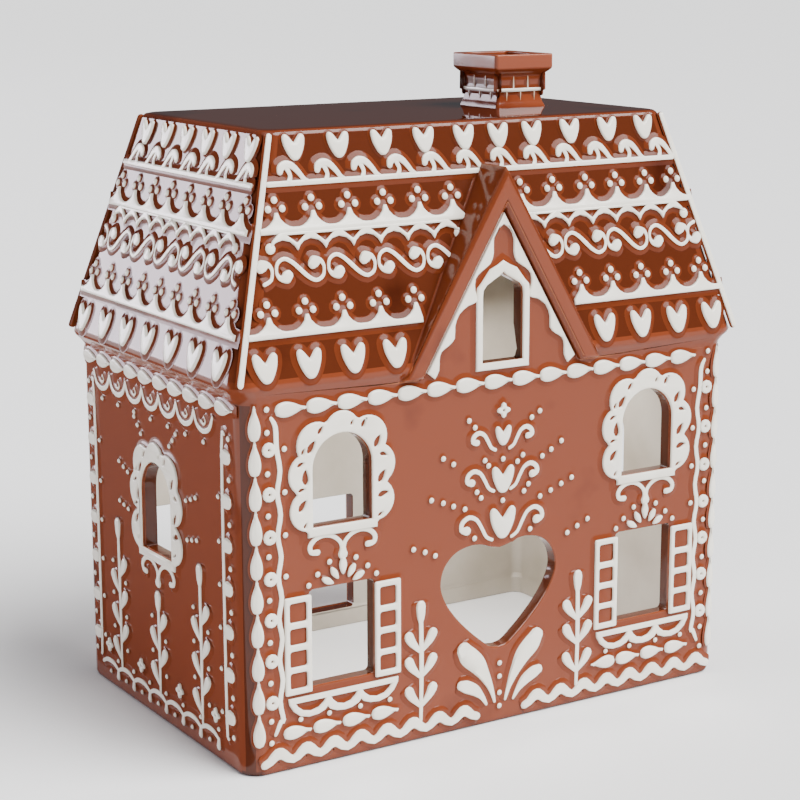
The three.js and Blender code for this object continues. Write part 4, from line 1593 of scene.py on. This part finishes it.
@dataclass
class RoofIcing:
    """Bands of icing on one roof slope."""

    pantry: Pantry
    plane: Matrix
    top_hearts: list[float]
    low_hearts: list[float]
    high_peaks: list[float]
    low_peaks: list[float]
    hooks: list[float]
    vines: list[float]
    half_vines: list[float]
    curls: list[float]
    spans: dict[str, list[Point]]
    lean: int = 1

    def crowns(self, relief: Relief) -> None:
        """Two scalloped bands with three dots over each peak."""
        for v, spans, peaks in ((63.2, self.spans["high"], self.high_peaks),
                                (19.6, self.spans["low"], self.low_peaks)):
            for start, end in spans:
                own = [u for u in peaks if start < u < end]
                relief.put(patch([self.crown(v, start, end, own)], 0.75), self.plane)
                for u in own:
                    dots = [(u + x, v + y) for x, y in ((-3.4, 10.6), (3.4, 10.6), (0, 14.4))]
                    relief.scatter(self.pantry.trefoil_dot, self.plane, dots)

    @staticmethod
    def crown(v: float, start: float, end: float, peaks: Sequence[float]) -> Line:
        """Outline of a band whose upper edge swings up to thin peaks.

        Args:
            v: Its lower edge.
            start: Its left end.
            end: Its right end.
            peaks: Where the peaks stand.

        Returns:
            The outline.
        """
        side = [(7.4, 2.4), (5.6, 2.8), (3.4, 4.1), (1.5, 6.2), (0.6, 8.8)]
        swing = [(u + x, v + y) for u in reversed(peaks)
                 for x, y in side + mirrored(reversed(side))]
        inside = [(x, y) for x, y in swing if start + 0.5 < x < end - 0.5]
        return straight_outline([(start, v), (end, v), (end, v + 2.4), *inside, (start, v + 2.4)])

    def hook_row(self, relief: Relief, start: float, end: float) -> None:
        """Band with a row of wave hooks.

        Args:
            relief: Where it goes.
            start: Left end of the band.
            end: Right end of the band.
        """
        band = [(u, 84.2) for u in (start, (start + end) / 2, end)]
        relief.put(stroke([Line(band, widths=[3.0, 3.0, 3.0])], 2), self.plane)
        curl = [(-7.0, 89.4), (-6.4, 91.0), (-3.9, 92.3), (-0.8, 91.4), (2.0, 88.5), (4.0, 85.8),
                (6.0, 84.6)]
        leg = [(-4.0, 91.2), (-2.9, 89.2), (-2.4, 87.0), (-3.4, 84.4)]
        hook = stroke([Line(curl, widths=[3.6, 4.3, 4.2, 3.7, 3.1, 2.8, 2.4]),
                       Line(leg, widths=[2.8, 2.7, 2.6, 3.2])], 3)
        for u in self.hooks:
            relief.put(hook, self.plane, u, mirror=self.lean < 0)

    def zigzag(self, relief: Relief) -> None:
        """Small waves that hang from the upper crown."""
        pitch = 13.8
        for start, end in self.spans["high"]:
            count = int((end - start - 1) / pitch)
            left = (start + end - count * pitch) / 2
            lower = []
            holes = []
            for i in range(count):
                u = left + i * pitch
                arc = ((0, 55.9), (1.2, 57.9), (3.2, 59.6), (6.9, 60.6), (10.6, 59.6), (12.6, 57.9))
                lower += [(u + x, v) for x, v in arc]
                if i:
                    holes.append(straight_outline([(u - 5, 62.5), (u + 5, 62.5), (u + 0.4, 58.9),
                                                   (u - 0.4, 58.9)]))
            right = left + count * pitch
            outline = [(left, 57.4), *lower[1:], (right, 57.4), (right - 2.4, 60.6),
                       (right - 6, 63.6), (left + 6, 63.6), (left + 2.4, 60.6)]
            relief.put(patch([straight_outline(outline), *holes], 0.65), self.plane)
            relief.scatter(self.pantry.ball, self.plane, [(left + 0.8, 57.2), (right - 0.8, 57.2)])

    def vine(self, relief: Relief) -> None:
        """Running scroll of S curves that end in round buds."""
        swing = [(-6.6, -2.3), (-7.6, -2.9), (-10.2, -3.0), (-11.6, -0.4), (-10.6, 3.4),
                 (-7.2, 5.1), (-3.6, 3.4), (0, 0)]
        widths = [5.8, 6.2, 3.0, 2.1, 2.2, 2.3, 2.5, 2.7]
        other = [(-x, -y) for x, y in swing]
        unit = stroke([Line(swing, widths=widths), Line(other, widths=widths)], 3)
        half = stroke([Line(swing, widths=widths)], 3)
        curl = stroke([Line(swing[:6], widths=widths[:6])], 3)
        for motif, places, side in ((unit, self.vines, 0), (half, self.half_vines, 1),
                                    (curl, self.curls, -1)):
            for u in places:
                turn = 180 if u * side * self.lean > 0 else 0
                relief.put(motif, self.plane, u, 47.5, turn, mirror=self.lean < 0)

    def hearts(self, relief: Relief) -> None:
        """Rows of hearts at the top and at the eave."""
        relief.scatter(self.pantry.top_heart, self.plane, [(u, 99.4) for u in self.top_hearts])
        relief.scatter(self.pantry.heart, self.plane, [(u, 7.5) for u in self.low_hearts], 1.04)


class DormerIcing:
    """White frame of the dormer window and the wavy trim under its boards."""

    @staticmethod
    def build(relief: Relief) -> None:
        """Places window frame and trim."""
        plane = Face.FRONT.matrix()
        foot = [ogee(DORMER_WINDOW, CLEAR + 0.4), ogee(DORMER_WINDOW, CLEAR)]
        rim = [ogee(DORMER_WINDOW, 3.2), ogee(DORMER_WINDOW, 0.2)]
        relief.put(patch(rim, 0.8, foot=foot), plane)
        top = GABLE.apex - GABLE.board_drop - 2.6
        edge = [(x * GABLE.spread, top - x) for x in (0, 24, 46, 68)]
        wave = [(36.4, 168), (34.4, 171.5), (34.2, 176), (33.2, 179.6), (29.4, 182), (26.2, 185),
                (26, 190.4), (23.8, 195.6), (19, 199), (14.2, 200.6), (15.4, 205.6), (15.2, 210.6),
                (12, 213.8), (7.4, 216.8), (5.6, 221.4), (5.6, 227), (3.6, 231.6), (0, 234.2)]
        right = edge[1:] + spline(wave, False, 2)
        left = mirrored(reversed(right[:-1]))
        relief.put(patch([straight_outline([edge[0], *right, *left])], 0.7), plane)


# The whole house


class Gingerbread:
    """The finished house."""

    def __init__(self) -> None:
        """Makes the materials."""
        self.enamel = WhiteEnamel().material()
        self.wall_foot = BrownGlaze("glaze_foot_wall", 0.92, False, shine=0.24).material()
        # The roof feet get a darker copy of the glaze, like the roof: painted shade
        self.roof_foot = BrownGlaze("glaze_foot_roof_painted_shade", 0.7, False, shine=0.13).material()
        wall_glaze = BrownGlaze("glaze_wall", 0.95).material()
        self.chimney_glaze = BrownGlaze("glaze_chimney", 1.3).material()
        self.coats = {
            Coat.WALL: wall_glaze,
            # Roof slopes: a darker copy of the wall glaze, painted shade
            Coat.ROOF: BrownGlaze("glaze_roof_painted_shade", 0.72).material(),
            # Flat roof top: a much darker copy of the glaze, a painted dark reflection
            Coat.TOP: BrownGlaze("glaze_top_painted_dark_reflection", 0.36, False, 0.03, 0.04).material(),
            # Reveals of the openings: a darker copy of the glaze, painted shade
            Coat.REVEAL: BrownGlaze("glaze_reveal_painted_shade", 0.42, False).material(),
            Coat.INSIDE: PaleClay().material(),
        }

    def build(self) -> None:
        """Builds the pieces in order."""
        shell = Shell().build(self.coats)
        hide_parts("house")
        chimney = Chimney()
        chimney.build(self.chimney_glaze)
        chimney.mortar().finish(self.enamel, self.wall_foot)
        pantry = Pantry()
        wall = WallIcing(pantry)
        self.garlands(wall)
        self.long_walls(wall)
        self.short_walls(wall)
        self.roof(pantry)
        dormer = Relief("dormer_trim")
        DormerIcing().build(dormer)
        dormer.finish(self.enamel, self.wall_foot)

    def garlands(self, wall: WallIcing) -> None:
        """Rows of drops under the eaves and on the corners."""
        relief = Relief("drop_garlands")
        for face, middle, count in ((Face.FRONT, -2.0, 15), (Face.BACK, 0, 15), (Face.LEFT, 0, 10),
                                    (Face.RIGHT, 0, 10)):
            wall.garland(relief, face.matrix(), 163, middle, count)
        wall.corner_columns(relief)
        relief.finish(self.enamel, self.wall_foot)

    def long_walls(self, wall: WallIcing) -> None:
        """Icing of the front and the back wall."""
        windows = Relief("window_lace")
        boxes = Relief("shutters_and_planters")
        borders = Relief("lace_lines")
        plants = Relief("sprigs_and_ribbons")
        for face in (Face.FRONT, Face.BACK):
            side = LongWall(wall, face.matrix())
            side.high_windows(windows)
            side.low_windows(boxes)
            side.lace_lines(borders)
            front_ends, back_ends = [(-124, -13), (14.5, 125)], [(-124, -24), (24, 124)]
            side.ribbons(plants, front_ends if face is Face.FRONT else back_ends)
            side.sprigs(plants)
        for relief in (windows, boxes, borders, plants):
            relief.finish(self.enamel, self.wall_foot)
        hearts = Relief("hearts_and_scrolls")
        front = Middle(wall, Face.FRONT.matrix())
        tiers = ((96.5, 13.6, 1.08, -0.2), (117, 11.6, 0.93, 1.2), (137.5, 8.2, 0.78, -1.1))
        for v, width, size, lift in tiers:
            front.tier(hearts, v, width, size, lift)
        front.commas(hearts)
        front.front_dots(hearts)
        hearts.put(wall.pantry.flower, front.plane, 0.9, 149.3)
        back = Middle(wall, Face.BACK.matrix())
        for v, width, size, lift in tiers[1:]:
            back.tier(hearts, v, width, size, lift)
        hearts.put(wall.pantry.flower, back.plane, 0.9, 149.3)
        DoorIcing(wall).build(hearts)
        hearts.finish(self.enamel, self.wall_foot)

    def short_walls(self, wall: WallIcing) -> None:
        """Icing of the left and the right wall."""
        relief = Relief("side_wall_icing")
        for face in (Face.LEFT, Face.RIGHT):
            side = ShortWall(wall, face.matrix())
            side.festoon(relief)
            side.borders(relief)
            side.dots(relief)
            side.sprigs(relief)
            wall.lace_window(relief, face.matrix(), 0, GABLE_WINDOW)
        relief.finish(self.enamel, self.wall_foot)

    def roof(self, pantry: Pantry) -> None:
        """Icing of the four slopes."""
        front = RoofIcing(
            pantry, Face.ROOF_FRONT.matrix(),
            [-94.5, -72.7, -50.6, -28.9, -7.6, 11.0, 29.7, 51.1, 72.8, 94.1],
            [side * u for u in (57.2, 78.4, 100, 121.3) for side in (-1, 1)],
            [-107.2, -89.3, -71.4, -53.4, -35.5, -18.2, 19.5, 37.7, 56.3, 73.8, 91.3, 107.2],
            [-117, -98.6, -80.3, -62, -44, 46.4, 64.5, 82.3, 100.2, 117.3],
            evenly(12, 18.2, 4.4),
            [-98.8, -73.4, -48.2, 52.0, 76.4, 101.3], [-23.0, 27.2], [-124.0, 124.5],
            {"high": [(-116, -12.8), (12.8, 116)], "low": [(-128, -41.5), (41.5, 128)]},
        )
        back = RoofIcing(
            pantry, Face.ROOF_BACK.matrix(), evenly(10, 20.8), evenly(12, 21.6),
            evenly(13, 17.8), evenly(15, 17.2), evenly(12, 18.2, -1.5), evenly(9, 25.1), [],
            [-124.2, 124.2],
            {"high": [(-116, 116)], "low": [(-128, 128)]},
        )
        slopes = [front, back]
        for face in (Face.ROOF_LEFT, Face.ROOF_RIGHT):
            slopes.append(RoofIcing(
                pantry, face.matrix(), evenly(6, 20.3, 4.8), evenly(7, 23.3), evenly(8, 17.6),
                evenly(9, 17.4), evenly(7, 17.9, 0.5), evenly(5, 25.2), [], [-75.6, 75.6],
                {"high": [(-68.8, 68.8)], "low": [(-78.6, 78.6)]}, -1,
            ))
        crowns = Relief("roof_crowns")
        hooks = Relief("roof_hooks_and_vines")
        hearts = Relief("roof_hearts")
        for slope in slopes:
            slope.crowns(crowns)
            reach = 109 if slope.lean > 0 else 63
            slope.hook_row(hooks, -reach, reach)
            slope.zigzag(hooks)
            slope.vine(hooks)
            slope.hearts(hearts)
        self.hip_lines(hearts)
        for relief in (crowns, hooks, hearts):
            relief.finish(self.enamel, self.roof_foot)

    @staticmethod
    def hip_lines(relief: Relief) -> None:
        """White lines along the edges of the front and back slopes."""
        length = math.hypot(HOUSE.eave_y - HOUSE.flat_y, HOUSE.rise)
        points = [(134.0, 1.8), (HOUSE.flat_x - 1.7, length - 2.8)]
        line = stroke([Line(points, widths=[3.4, 3.2])], 12, 0.8)
        for face in (Face.ROOF_FRONT, Face.ROOF_BACK):
            for mirror in (False, True):
                relief.put(line, face.matrix(), mirror=mirror)


@dataclass
class Studio:
    """Floor, light and camera."""

    camera_place: tuple[float, float, float] = (-523.25, -831.95, 353.1)
    yaw: float = 32.11
    pitch: float = 12.32
    roll: float = -0.12
    focal_pixels: float = 2064.41
    picture: float = 800.0

    def floor(self) -> None:
        """Plain pale floor."""
        deselect()
        bpy.ops.mesh.primitive_plane_add(size=80)
        plane = bpy.context.active_object
        plane.name = "floor"
        nodes = Nodes("pale_floor")
        nodes.surface(Base_Color=(0.93, 0.93, 0.93, 1), Roughness=0.9, Specular_IOR_Level=0.1)
        plane.data.materials.append(nodes.material)

    @staticmethod
    def softbox(name: str, place: Sequence[float], size: Point, power: float,
                aim: Sequence[float], tint: Colour = WHITE) -> None:
        """Rectangular lamp that points at a place.

        Args:
            name: Name of the lamp.
            place: Where it stands, in metres.
            size: Width and height.
            power: Its power in watts.
            aim: What it points at.
            tint: Its colour.
        """
        deselect()
        bpy.ops.object.light_add(type="AREA", location=place)
        lamp = bpy.context.active_object
        lamp.name = name
        lamp.data.shape = "RECTANGLE"
        lamp.data.size, lamp.data.size_y = size
        lamp.data.energy = power
        lamp.data.color = tint
        lamp.rotation_euler = (Vector(aim) - Vector(place)).to_track_quat("-Z", "Y").to_euler()

    def lights(self) -> None:
        """Soft light from the front, a bright window at the back left and a dim room."""
        world = bpy.data.worlds.new("studio")
        bpy.context.scene.world = world
        world.use_nodes = True
        room = world.node_tree.nodes["Background"]
        room.inputs["Color"].default_value = (0.9, 0.93, 1.0, 1)
        room.inputs["Strength"].default_value = 0.1
        bpy.ops.object.light_add(type="SUN", location=(1.2, -1.8, 2.4))
        sun = bpy.context.active_object
        sun.name = "key"
        sun.data.energy = 7.6
        sun.data.angle = math.radians(48)
        sun.rotation_euler = Vector((-0.42, 0.62, -0.82)).to_track_quat("-Z", "Y").to_euler()
        self.softbox("window", (-3.2, 4.7, 0.8), (3.2, 1.5), 230, (-0.1, 0, 0.2),
                     (0.94, 0.88, 1.0))
        self.softbox("top", (-0.9, -0.6, 3.0), (3.4, 3.4), 35, (0, 0, 0))
        for x in (-0.065, 0.065):
            self.softbox("inside", (x, 0.01, 0.165), (0.08, 0.08), 0.22, (x, 0.02, 0))
            bpy.context.active_object.visible_camera = False

    @staticmethod
    def shadow_card() -> None:
        """Dark card on the floor at the left, which only the glaze of the left wall mirrors: a
        painted dark reflection that stands in for shade on the floor there, unseen by the camera and
        casting no shadow.
        """
        deselect()
        # Near-black sheet seen only in reflections: painted shadow on the floor beside the house
        bpy.ops.mesh.primitive_plane_add(size=1, location=(-0.35, 0.45, 0.0006))
        shadow_card = bpy.context.active_object
        shadow_card.name = "dark_card_painted_shadow"
        shadow_card.scale = (0.42, 1.1, 1)
        bpy.ops.object.transform_apply(location=True, rotation=True, scale=True)
        nodes = Nodes("dark_card_painted_shadow")
        nodes.surface(Base_Color=(0.1, 0.085, 0.08, 1), Roughness=0.9)
        shadow_card.data.materials.append(nodes.material)
        shadow_card.visible_camera = False
        shadow_card.visible_diffuse = False
        shadow_card.visible_shadow = False

    def camera(self) -> None:
        """Camera where the photographer's stood."""
        data = bpy.data.cameras.new("view")
        camera = bpy.data.objects.new("view", data)
        bpy.context.scene.collection.objects.link(camera)
        data.sensor_width = 36.0
        data.lens = self.focal_pixels * data.sensor_width / self.picture
        data.clip_end = 100
        yaw = math.radians(-self.yaw)
        turn = Matrix.Rotation(yaw, 4, "Z") @ Matrix.Rotation(math.radians(90 - self.pitch), 4, "X")
        turn = turn @ Matrix.Rotation(math.radians(self.roll), 4, "Z")
        camera.matrix_world = Matrix.Translation(Vector(self.camera_place) * MM) @ turn
        bpy.context.scene.camera = camera

    def build(self) -> None:
        """Sets up floor, lights and camera."""
        self.floor()
        self.shadow_card()
        self.lights()
        self.camera()


def main() -> None:
    """Builds the house and its studio."""
    logging.basicConfig(level=logging.INFO, format="%(message)s", stream=sys.stdout)
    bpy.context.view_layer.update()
    Gingerbread().build()
    Studio().build()


if __name__ == "__main__":
    main()
